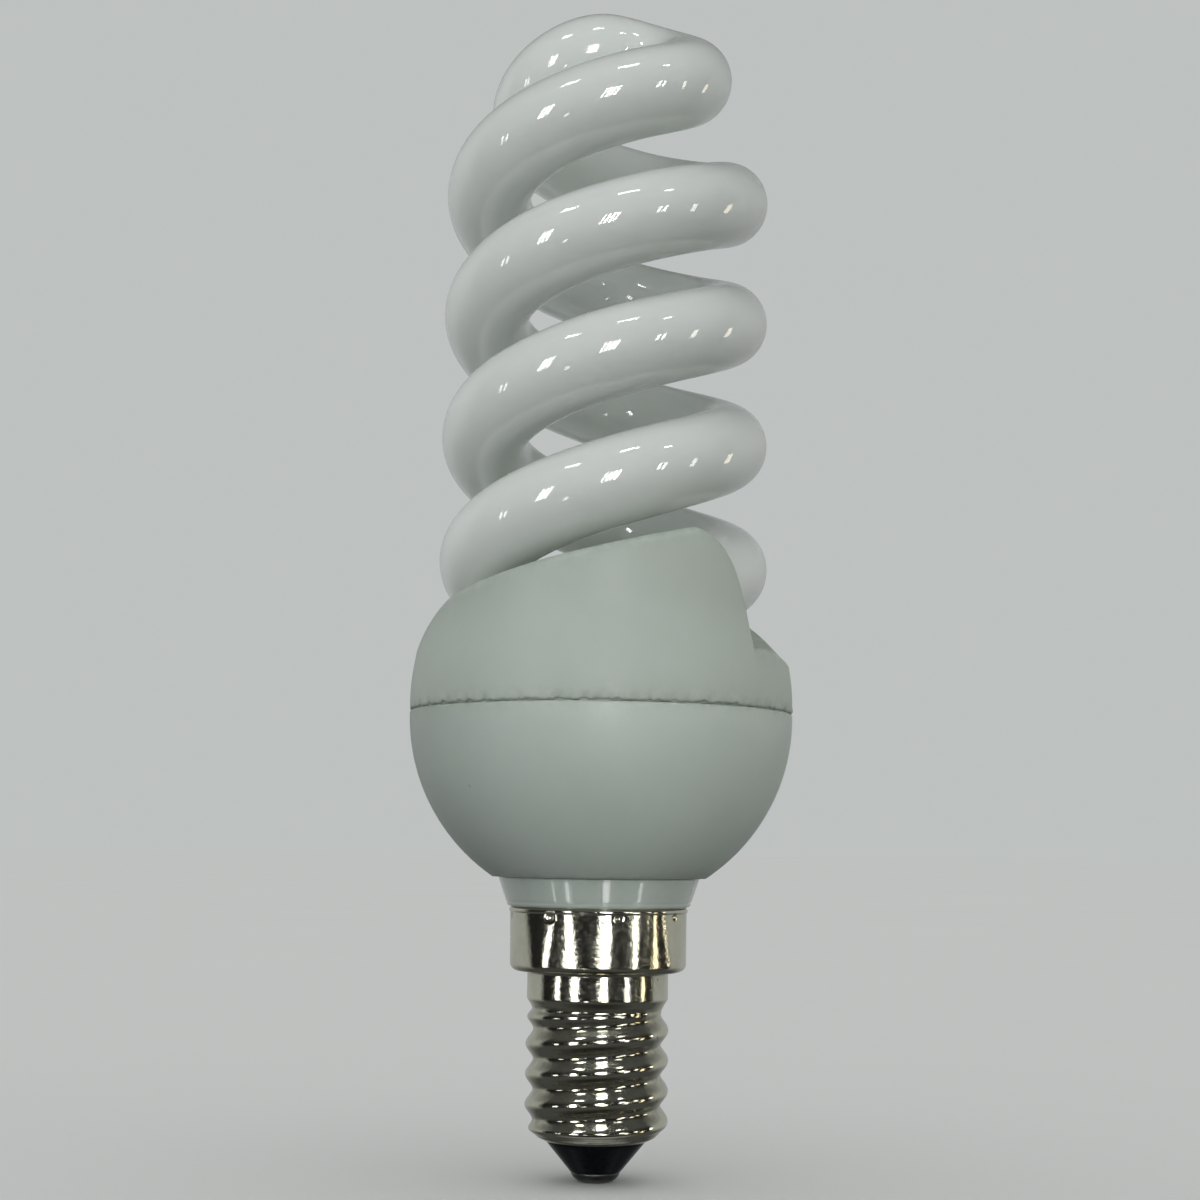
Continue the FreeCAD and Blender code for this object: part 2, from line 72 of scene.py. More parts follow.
class Socket(Enum):
    """Kinds of socket that a shared effect offers."""

    COLOUR = "NodeSocketColor"
    NUMBER = "NodeSocketFloat"
    VECTOR = "NodeSocketVector"


class Operation(Enum):
    """Ways to join two values in a shader."""

    PRODUCT = "MULTIPLY"
    BELOW = "LESS_THAN"


class Mixed(Enum):
    """What a mix is made of: its data type, the places of its two inputs, and the place of its output."""

    NUMBERS = ("FLOAT", 2, 3, 0)
    COLOURS = ("RGBA", 6, 7, 2)


class Lit(Enum):
    """What a panel of the light rig shines on: the lamp without the floor, or the one piece named here."""

    LAMP = "lamp"
    SHELL = "rolled_shell"
    HOUSING = "ball_housing"
    TUBE = "spiral_tube"
    FLOOR = "floor"


class Ends(Enum):
    """How a grid of rows is closed at its first and last row."""

    LOOP = "loop"
    POLES = "poles"
    CUP = "cup"


def low_mm(node: str) -> Vector:
    """Lowest corner of a node's box in millimetres."""
    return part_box(node)[0] / MM


def high_mm(node: str) -> Vector:
    """Highest corner of a node's box in millimetres."""
    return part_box(node)[1] / MM


def smooth_step(value: Array) -> Array:
    """Rises from 0 at 0 to 1 at 1 as three squares less two cubes, and is flat outside."""
    t = np.clip(value, 0.0, 1.0)
    return t * t * (3.0 - 2.0 * t)


def smooth_maximum(first: Array, second: Array, reach: float) -> Array:
    """Larger of two values with a soft change: plus a quarter of the reach times the nearness squared."""
    nearness = np.maximum(0.0, 1.0 - np.abs(first - second) / reach)
    return np.maximum(first, second) + 0.25 * reach * nearness ** 2


def wobble(angle: Array, waves: Waves) -> Array:
    """Uneven line that closes after a turn: the mean of sines, each with a whole count and a phase."""
    turns = [np.sin(np.radians(count * angle + phase)) for count, phase in waves]
    return np.mean(turns, axis=0)


def arc(centre: Point, radius: float, start: float, end: float, rows: int) -> Array:
    """Points (radius, height) on a circle about a centre, from a start angle to an end angle in degrees."""
    turn = np.radians(np.linspace(start, end, rows))
    return np.stack([centre[0] + radius * np.cos(turn), centre[1] + radius * np.sin(turn)], axis=-1)


def line(start: Point, end: Point, rows: int) -> Array:
    """Points (radius, height) evenly along a straight run, without its last point."""
    share = np.linspace(0.0, 1.0, rows, endpoint=False)[:, None]
    return np.asarray(start) + share * (np.asarray(end) - np.asarray(start))


def pairs(radius: Array, height: Array) -> Array:
    """Points (radius, height), with each of the two spread over the other's rows and columns."""
    return np.stack(np.broadcast_arrays(radius, height), axis=-1)


def spin(profile: Array, columns: int) -> Array:
    """Carries a profile of (radius, height) round the axis.

    Args:
        profile: array of rows by 2, or rows by columns by 2 where it changes with the angle.
        columns: number of steps round the axis.

    Returns:
        Points of rows by columns by 3: radius times cosine, radius times sine, and height.
    """
    if profile.ndim == 2:
        profile = np.repeat(profile[:, None, :], columns, axis=1)
    turn = np.radians(np.arange(columns) * 360.0 / columns)
    radius, height = profile[..., 0], profile[..., 1]
    return np.stack([radius * np.cos(turn), radius * np.sin(turn), height], axis=-1)


def grid_piece(name: str, points: Array, ends: Ends, sharp_angle: float = 45.0) -> bpy.types.Object:
    """Makes a closed mesh from a grid whose columns go round and whose rows run along.

    Args:
        name: the piece's name.
        points: rows by columns by 3, in millimetres.
        ends: LOOP joins the last row to the first, POLES closes each end row on its middle point, and CUP
            closes the last row alone.
        sharp_angle: edges that turn by more than this stay sharp, in degrees.

    Returns:
        The new object, linked to the scene.
    """
    rows, columns = points.shape[:2]
    vertices = points.reshape(-1, 3)
    index = np.arange(rows * columns).reshape(rows, columns)
    if ends is Ends.LOOP:
        index = np.vstack([index, index[:1]])
    beside = np.roll(index, -1, axis=1)
    faces = np.stack([index[:-1], beside[:-1], beside[1:], index[1:]], axis=-1).reshape(-1, 4).tolist()
    if ends is not Ends.LOOP:
        pole = np.full(columns, rows * columns)
        vertices = np.vstack([vertices, points[-1].mean(axis=0), points[0].mean(axis=0)])
        faces += np.stack([index[-1], beside[-1], pole], axis=-1).tolist()
    if ends is Ends.POLES:
        faces += np.stack([pole + 1, beside[0], index[0]], axis=-1).tolist()
    mesh = bpy.data.meshes.new(name)
    mesh.from_pydata((vertices * MM).tolist(), [], faces)
    mesh.polygons.foreach_set("use_smooth", np.ones(len(mesh.polygons), dtype=bool))
    mesh.set_sharp_from_angle(angle=math.radians(sharp_angle))
    mesh.validate()
    piece = bpy.data.objects.new(name, mesh)
    bpy.context.scene.collection.objects.link(piece)
    return piece


def add_attribute(piece: bpy.types.Object, name: str, values: Array) -> None:
    """Stores one number for each vertex, for a material to read.

    Args:
        piece: the piece to store them on.
        name: the attribute's name.
        values: numbers for the vertices in order, and vertices past their end get 0.
    """
    attribute = piece.data.attributes.new(name, "FLOAT", "POINT")
    spread = np.zeros(len(piece.data.vertices), dtype=np.float32)
    spread[: values.size] = values.reshape(-1)
    attribute.data.foreach_set("value", spread)


def settle(piece: bpy.types.Object, material: bpy.types.Material, slot: str, *nodes: str) -> None:
    """Dresses a piece, lets it ride on the body and says which nodes it stands for.

    Args:
        piece: the finished piece.
        material: its material.
        slot: its material slot in the record; not used.
        nodes: the nodes that it replaces.
    """
    piece.data.materials.append(material)
    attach(piece, BODY)
    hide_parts(*nodes)
    LOG.info("%s: %d faces, for %s", piece.name, len(piece.data.polygons), ", ".join(nodes))


def opaque(colour: Colour) -> tuple[float, float, float, float]:
    """Colour with full alpha, as a colour socket takes it."""
    return (*colour, 1.0)


class NodeBench:
    """Adds and joins nodes in one node tree."""

    def __init__(self, tree: bpy.types.NodeTree) -> None:
        """Keeps the tree that nodes go into."""
        self.tree = tree

    def add(self, kind: str, settings: dict | None = None, **inputs: object) -> bpy.types.Node:
        """Adds a node.

        Args:
            kind: the node's type.
            settings: properties of the node itself.
            inputs: values or output sockets by input name, with spaces written as underscores.

        Returns:
            The new node.
        """
        node = self.tree.nodes.new(kind)
        for key, value in (settings or {}).items():
            setattr(node, key, value)
        for key, value in inputs.items():
            self.feed(node.inputs[key.replace("_", " ")], value)
        return node

    def feed(self, socket: bpy.types.NodeSocket, value: object) -> None:
        """Links an output socket to an input, or sets the input's own value.

        Args:
            socket: the input.
            value: an output socket or a plain value.
        """
        if isinstance(value, bpy.types.NodeSocket):
            self.tree.links.new(value, socket)
        else:
            socket.default_value = value

    def remap(self, value: bpy.types.NodeSocket, to: Span, span: Span) -> bpy.types.NodeSocket:
        """Maps the values of a span to a range in a straight line, held at both ends."""
        node = self.add("ShaderNodeMapRange", Value=value, From_Min=span[0], From_Max=span[1], To_Min=to[0],
                        To_Max=to[1])
        return node.outputs["Result"]

    def join(self, operation: Operation, first: object, second: object) -> bpy.types.NodeSocket:
        """Joins two values.

        Args:
            operation: how they are joined.
            first: the first value or its socket.
            second: the second value or its socket.

        Returns:
            The result's socket.
        """
        node = self.add("ShaderNodeMath", {"operation": operation.value})
        self.feed(node.inputs[0], first)
        self.feed(node.inputs[1], second)
        return node.outputs[0]

    def mix(self, mixed: Mixed, mask: object, first: object, second: object) -> bpy.types.NodeSocket:
        """Mixes two values or colours by a mask.

        Args:
            mixed: numbers or colours.
            mask: 0 for the first and 1 for the second, or a socket that gives it.
            first: the first of the two, or its socket.
            second: the second of the two, or its socket.

        Returns:
            The result's socket.
        """
        kind, first_place, second_place, result_place = mixed.value
        node = self.add("ShaderNodeMix", {"data_type": kind})
        for place, value in ((0, mask), (first_place, first), (second_place, second)):
            self.feed(node.inputs[place], value)
        return node.outputs[result_place]


class Effects:
    """Shared effects as node groups, each built once."""

    CLOUD_SPAN: Span = (0.3, 0.72)
    PATCH_SPAN: Span = (0.38, 0.66)
    PATCH_RANGE: Span = (0.15, 1.0)

    def __init__(self) -> None:
        """Builds the groups."""
        self.mottle = self.make_mottle()
        self.specks = self.make_specks()
        self.shade_and_dirt = self.make_shade_and_dirt()

    def start(
        self, name: str, inputs: dict[str, Socket], outputs: dict[str, Socket],
    ) -> tuple[bpy.types.NodeTree, NodeBench, bpy.types.Node, bpy.types.Node]:
        """Opens a group with named sockets.

        Args:
            name: the group's name.
            inputs: socket kinds by input name.
            outputs: socket kinds by output name.

        Returns:
            The group, a bench for it, its input node and its output node.
        """
        group = bpy.data.node_groups.new(name, "ShaderNodeTree")
        for title, kind in inputs.items():
            group.interface.new_socket(title, in_out="INPUT", socket_type=kind.value)
        for title, kind in outputs.items():
            group.interface.new_socket(title, in_out="OUTPUT", socket_type=kind.value)
        bench = NodeBench(group)
        return group, bench, bench.add("NodeGroupInput"), bench.add("NodeGroupOutput")

    def make_mottle(self) -> bpy.types.NodeTree:
        """Builds a cloudy change of colour, with a finer grain for roughness and bump.

        Returns:
            The group.
        """
        group, bench, given, result = self.start(
            "Mottle",
            {"Vector": Socket.VECTOR, "Colour": Socket.COLOUR, "Tint": Socket.COLOUR,
             "Cloud Scale": Socket.NUMBER, "Grain Scale": Socket.NUMBER, "Amount": Socket.NUMBER},
            {"Colour": Socket.COLOUR, "Grain": Socket.NUMBER},
        )
        cloud = bench.add("ShaderNodeTexNoise", Vector=given.outputs["Vector"],
                          Scale=given.outputs["Cloud Scale"], Detail=5.0, Roughness=0.6)
        grain = bench.add("ShaderNodeTexNoise", Vector=given.outputs["Vector"],
                          Scale=given.outputs["Grain Scale"], Detail=3.0, Roughness=0.55)
        mask = bench.remap(cloud.outputs[0], (0.0, 1.0), self.CLOUD_SPAN)
        share = bench.join(Operation.PRODUCT, mask, given.outputs["Amount"])
        colour = bench.mix(Mixed.COLOURS, share, given.outputs["Colour"], given.outputs["Tint"])
        bench.feed(result.inputs["Colour"], colour)
        bench.feed(result.inputs["Grain"], grain.outputs[0])
        return group

    def make_specks(self) -> bpy.types.NodeTree:
        """Builds sparse small marks: cells whose random number is low, close to their middles.

        Returns:
            The group.
        """
        group, bench, given, result = self.start(
            "Specks",
            {"Vector": Socket.VECTOR, "Scale": Socket.NUMBER, "Size": Socket.NUMBER, "Share": Socket.NUMBER},
            {"Mask": Socket.NUMBER},
        )
        cells = bench.add("ShaderNodeTexVoronoi", Vector=given.outputs["Vector"],
                          Scale=given.outputs["Scale"])
        number = bench.add("ShaderNodeSeparateColor", Color=cells.outputs["Color"])
        near = bench.join(Operation.BELOW, cells.outputs["Distance"], given.outputs["Size"])
        chosen = bench.join(Operation.BELOW, number.outputs[0], given.outputs["Share"])
        bench.feed(result.inputs["Mask"], bench.join(Operation.PRODUCT, near, chosen))
        return group

    def make_shade_and_dirt(self) -> bpy.types.NodeTree:
        """Builds uneven darkening where a mask is high, painted shade in hollows with some dirt: the mask
        times a cloudy noise mixes two colours.

        Returns:
            The group.
        """
        group, bench, given, result = self.start(
            "ShadeAndDirt",
            {"Vector": Socket.VECTOR, "Colour": Socket.COLOUR, "Dirt": Socket.COLOUR,
             "Mask": Socket.NUMBER, "Scale": Socket.NUMBER, "Share": Socket.NUMBER},
            {"Colour": Socket.COLOUR},
        )
        cloud = bench.add("ShaderNodeTexNoise", Vector=given.outputs["Vector"],
                          Scale=given.outputs["Scale"], Detail=6.0, Roughness=0.65)
        patches = bench.remap(cloud.outputs[0], self.PATCH_RANGE, self.PATCH_SPAN)
        share = bench.join(Operation.PRODUCT, bench.join(Operation.PRODUCT, patches, given.outputs["Mask"]),
                           given.outputs["Share"])
        colour = bench.mix(Mixed.COLOURS, share, given.outputs["Colour"], given.outputs["Dirt"])
        bench.feed(result.inputs["Colour"], colour)
        return group


@dataclass(frozen=True)
class Finish:
    """A surface finish: colour with cloudy change, roughness range, grain and gloss.

    Scales are features per metre, bump is the grain's height in millimetres, and glow_depth is how far light
    spreads under the surface in millimetres. A finish with a glossy part, or with darkening that is painted
    shade in hollows with some dirt, reads where that lies from an attribute.
    """

    name: str
    colour: Colour
    tint: Colour
    roughness: Span = (0.4, 0.5)
    metallic: float = 0.0
    cloud_scale: float = 300.0
    grain_scale: float = 6000.0
    grain_span: Span = (0.3, 0.7)
    amount: float = 0.6
    bump: float = 0.01
    coat: float = 0.0
    coat_roughness: float = 0.03
    coat_ior: float = 1.5
    ior: float = 1.5
    specular: float = 0.5
    speck_share: float = 0.0
    speck_colour: Colour = (0.1, 0.09, 0.08)
    speck_scale: float = 420.0
    speck_size: float = 0.07
    glossy_part: bool = False
    gloss_roughness: float = 0.12
    shade_and_dirt_share: float = 0.0
    shade_and_dirt_colour: Colour = (0.2, 0.2, 0.16)
    shade_and_dirt_scale: float = 900.0
    glow: float = 0.0
    glow_depth: float = 0.0

    def make(self, effects: Effects) -> bpy.types.Material:
        """Builds the material.

        Args:
            effects: the shared groups.

        Returns:
            The material, with its shader directly in it.
        """
        material = bpy.data.materials.new(self.name)
        material.use_nodes = True
        material.node_tree.nodes.clear()
        bench = NodeBench(material.node_tree)
        place = bench.add("ShaderNodeTexCoord").outputs["Object"]
        mottle = bench.add("ShaderNodeGroup", {"node_tree": effects.mottle}, Vector=place,
                           Colour=opaque(self.colour), Tint=opaque(self.tint), Cloud_Scale=self.cloud_scale,
                           Grain_Scale=self.grain_scale, Amount=self.amount)
        colour, grain = mottle.outputs["Colour"], mottle.outputs["Grain"]
        if self.speck_share:
            specks = bench.add("ShaderNodeGroup", {"node_tree": effects.specks}, Vector=place,
                               Scale=self.speck_scale, Size=self.speck_size, Share=self.speck_share)
            colour = bench.mix(Mixed.COLOURS, specks.outputs["Mask"], colour, opaque(self.speck_colour))
        # Darker colour where the attribute is high: painted shade in seams, creases and hollows, with uneven
        # dirt.
        if self.shade_and_dirt_share:
            near = bench.add("ShaderNodeAttribute", {"attribute_name": SHADE_AND_DIRT})
            shade_and_dirt = bench.add("ShaderNodeGroup", {"node_tree": effects.shade_and_dirt}, Vector=place, Colour=colour,
                              Dirt=opaque(self.shade_and_dirt_colour), Mask=near.outputs["Fac"],
                              Scale=self.shade_and_dirt_scale, Share=self.shade_and_dirt_share)
            colour = shade_and_dirt.outputs["Colour"]
        roughness, coat = bench.remap(grain, self.roughness, self.grain_span), self.coat
        if self.glossy_part:
            coat = bench.add("ShaderNodeAttribute", {"attribute_name": GLOSS}).outputs["Fac"]
            roughness = bench.mix(Mixed.NUMBERS, coat, roughness, self.gloss_roughness)
        relief = bench.add("ShaderNodeBump", Strength=1.0, Distance=self.bump * MM, Height=grain)
        shader = bench.add("ShaderNodeBsdfPrincipled", Base_Color=colour, Roughness=roughness,
                           Metallic=self.metallic, Normal=relief.outputs["Normal"], IOR=self.ior,
                           Specular_IOR_Level=self.specular, Coat_Weight=coat,
                           Coat_Roughness=self.coat_roughness, Coat_IOR=self.coat_ior,
                           Subsurface_Weight=self.glow, Subsurface_Radius=(1.0, 1.0, 1.0),
                           Subsurface_Scale=self.glow_depth * MM)
        output = bench.add("ShaderNodeOutputMaterial")
        bench.feed(output.inputs["Surface"], shader.outputs["BSDF"])
        return material


MILK_GLASS = Finish(
    "milk_glass", (0.75, 0.78, 0.755), (0.70, 0.73, 0.71), roughness=(0.34, 0.42), cloud_scale=130.0,
    grain_scale=900.0, amount=0.5, bump=0.004, coat=1.0, coat_roughness=0.02, coat_ior=1.7, specular=0.2,
    glow=1.0, glow_depth=5.0,
)
# Darkening at the seam and on the roof under the tube: painted shade, with some dirt.
COVER_PLASTIC = Finish(
    "cover_plastic", (0.52, 0.585, 0.525), (0.468, 0.522, 0.463), roughness=(0.40, 0.52),
    cloud_scale=160.0, grain_scale=5200.0, amount=0.5, bump=0.012, speck_share=0.05,
    speck_colour=(0.30, 0.30, 0.27), shade_and_dirt_share=0.55, shade_and_dirt_colour=(0.20, 0.22, 0.17),
)
# Base colour and tint darker than the cover's same white plastic: painted shade on the ball, which faces
# down. Darkening at the seam and the neck's foot is painted shade with some dirt.
SHADED_HOUSING_PLASTIC = Finish(
    "housing_plastic", (0.385, 0.435, 0.395), (0.345, 0.39, 0.355), roughness=(0.36, 0.48),
    cloud_scale=120.0, grain_scale=5200.0, amount=0.5, bump=0.010, speck_share=0.03,
    speck_colour=(0.32, 0.32, 0.30), glossy_part=True, coat_roughness=0.06, coat_ior=1.8,
    shade_and_dirt_share=0.45, shade_and_dirt_colour=(0.20, 0.22, 0.18),
)
# Darkening in the thread's valleys and at the skirt's floor corner: painted shade, with some dirt.
NICKEL_SHEET = Finish(
    "nickel_sheet", (0.74, 0.725, 0.61), (0.55, 0.52, 0.39), roughness=(0.06, 0.16), metallic=1.0,
    cloud_scale=420.0, grain_scale=2600.0, amount=0.55, bump=0.012, speck_share=0.12,
    speck_colour=(0.30, 0.27, 0.22), speck_scale=900.0, speck_size=0.10,
    shade_and_dirt_share=0.5, shade_and_dirt_colour=(0.20, 0.17, 0.11), shade_and_dirt_scale=700.0,
)
BLACK_GLASS = Finish(
    "black_glass", (0.003, 0.004, 0.006), (0.009, 0.010, 0.013), roughness=(0.16, 0.3),
    cloud_scale=700.0, grain_scale=2500.0, bump=0.010, specular=0.25,
)
CONTACT_METAL = Finish(
    "contact_metal", (0.17, 0.175, 0.165), (0.09, 0.09, 0.085), roughness=(0.30, 0.48), metallic=1.0,
    cloud_scale=900.0, grain_scale=3800.0, amount=0.8, bump=0.02,
)
FLOOR_PAINT = Finish(
    "floor_paint", (0.93, 0.93, 0.92), (0.90, 0.90, 0.895), roughness=(0.6, 0.7), cloud_scale=6.0,
    grain_scale=300.0, amount=0.5, bump=0.02, specular=0.0,
)
INNER_FINISHES = {finish.name: finish for finish in (
    Finish("cement", (0.76, 0.74, 0.68), (0.62, 0.60, 0.54), (0.8, 0.95), bump=0.06),
    Finish("board", (0.42, 0.29, 0.13), (0.34, 0.22, 0.09), (0.5, 0.65), bump=0.01),
    Finish("capacitor_sleeve", (0.02, 0.025, 0.04), (0.03, 0.035, 0.05), (0.2, 0.3)),
    Finish("ferrite", (0.05, 0.05, 0.055), (0.08, 0.08, 0.08), (0.5, 0.7), bump=0.03),
    Finish("bobbin", (0.04, 0.04, 0.04), (0.06, 0.06, 0.06), (0.4, 0.5)),
    Finish("copper", (0.55, 0.22, 0.07), (0.42, 0.15, 0.05), (0.2, 0.35), metallic=1.0),
    Finish("film_coat", (0.30, 0.05, 0.02), (0.22, 0.035, 0.015), (0.15, 0.3), bump=0.03),
    Finish("component_black", (0.02, 0.02, 0.02), (0.04, 0.04, 0.04), (0.4, 0.6)),
    Finish("diac_glass", (0.03, 0.09, 0.30), (0.02, 0.06, 0.22), (0.1, 0.2), coat=0.5),
    Finish("resistor_coat", (0.55, 0.42, 0.24), (0.45, 0.33, 0.18), (0.3, 0.45)),
    Finish("fuse_sleeve", (0.40, 0.40, 0.37), (0.30, 0.30, 0.28), (0.7, 0.85), bump=0.05),
    Finish("tinned_wire", (0.62, 0.62, 0.60), (0.50, 0.50, 0.48), (0.2, 0.4), metallic=1.0),
    Finish("post_metal", (0.60, 0.55, 0.38), (0.48, 0.43, 0.28), (0.2, 0.35), metallic=1.0),
)}


@dataclass
class SpiralTube:
    """Milky discharge tube: two arms wound as a double spiral and joined by a bridge over the axis."""

    seam: float = field(default_factory=lambda: high_mm("lower_housing").z)
    base_rise: float = 14.3
    coil_radius: float = 11.75
    tube_radius: float = 4.15
    lead: float = 24.45
    start_angle: float = -75.0
    tip_angle: float = 739.0
    tip_flattening: float = 12.0
    bridge_angle: float = 90.0
    bridge_rise: float = 2.5
    swell: float = 0.035
    swell_waves: Waves = ((7, 20.0), (17, 140.0), (31, 260.0))
    end_round: float = 0.6
    end_rows: int = 5
    end_trim: int = 2
    rows_per_arm: int = 420
    columns: int = 64

    def slope(self) -> float:
        """Rise of an arm for each degree."""
        return self.lead / 360.0

    def underside(self, angle: float) -> float:
        """Height of the tube's underside at an angle of the first arm, away from the bridge."""
        lean = math.atan(self.lead / (2.0 * math.pi * self.coil_radius))
        return self.seam + self.base_rise + self.slope() * angle - self.tube_radius / math.cos(lean)

    def centreline(self, angle: Array, turn: float) -> Array:
        """Points of one arm's centreline.

        The radius is the coil's, times the sine of the share of the bridge angle that is left. The height
        rises by the lead for each turn, levels off as a hyperbola at the tip, and gains the bridge's own
        rise times the squared cosine of that share.

        Args:
            angle: angles along the arm.
            turn: 0 for the first arm and 180 for the second.

        Returns:
            One point for each angle.
        """
        left = self.tip_angle - angle
        bend = np.radians(90.0 * np.minimum(1.0, left / self.bridge_angle))
        radius = self.coil_radius * np.sin(bend)
        climb = self.tip_angle - np.hypot(left, self.tip_flattening)
        height = self.seam + self.base_rise + self.slope() * climb + self.bridge_rise * np.cos(bend) ** 2
        way = np.radians(angle + turn)
        return np.stack([radius * np.cos(way), radius * np.sin(way), height], axis=-1)

    def skin(self) -> Array:
        """Carries a circle along both arms.

        Each row is the centreline's point plus the radius times (cosine of the sideways normal plus sine of
        the upward normal). The radius swells and narrows a little along the path, as bent glass does. Each
        end is rounded by a quarter circle, which takes the place of the rows trimmed from it.

        Returns:
            Points of rows by columns by 3.
        """
        angle = np.linspace(self.start_angle, self.tip_angle, self.rows_per_arm)
        path = np.vstack([self.centreline(angle, 0.0), self.centreline(angle[-2::-1], 180.0)])
        along = np.gradient(path, axis=0)
        along /= np.linalg.norm(along, axis=1, keepdims=True)
        side = np.cross((0.0, 0.0, 1.0), along)
        side /= np.linalg.norm(side, axis=1, keepdims=True)
        up = np.cross(along, side)
        travel = np.linspace(0.0, 360.0, len(path))
        radius = self.tube_radius + self.swell * wobble(travel, self.swell_waves)
        around = np.radians(np.arange(self.columns) * 360.0 / self.columns)
        spokes = side[:, None] * np.cos(around)[:, None] + up[:, None] * np.sin(around)[:, None]
        rings = path[:, None] + radius[:, None, None] * spokes
        turn = np.radians(np.linspace(0.0, 90.0, self.end_rows, endpoint=False))
        inner = 1.0 - self.end_round / self.tube_radius * (1.0 - np.sin(turn))[:, None, None]
        out = self.end_round * (1.0 - np.cos(turn))[:, None, None]
        first = path[0] + inner * (rings[0] - path[0]) + out * along[0]
        last = path[-1] + inner[::-1] * (rings[-1] - path[-1]) - out[::-1] * along[-1]
        return np.vstack([first, rings[self.end_trim:-self.end_trim], last])

    def build(self, effects: Effects) -> None:
        """Makes and dresses the tube."""
        piece = grid_piece("spiral_tube", self.skin(), Ends.POLES)
        settle(piece, MILK_GLASS.make(effects), "milk_glass", "glass_tube")


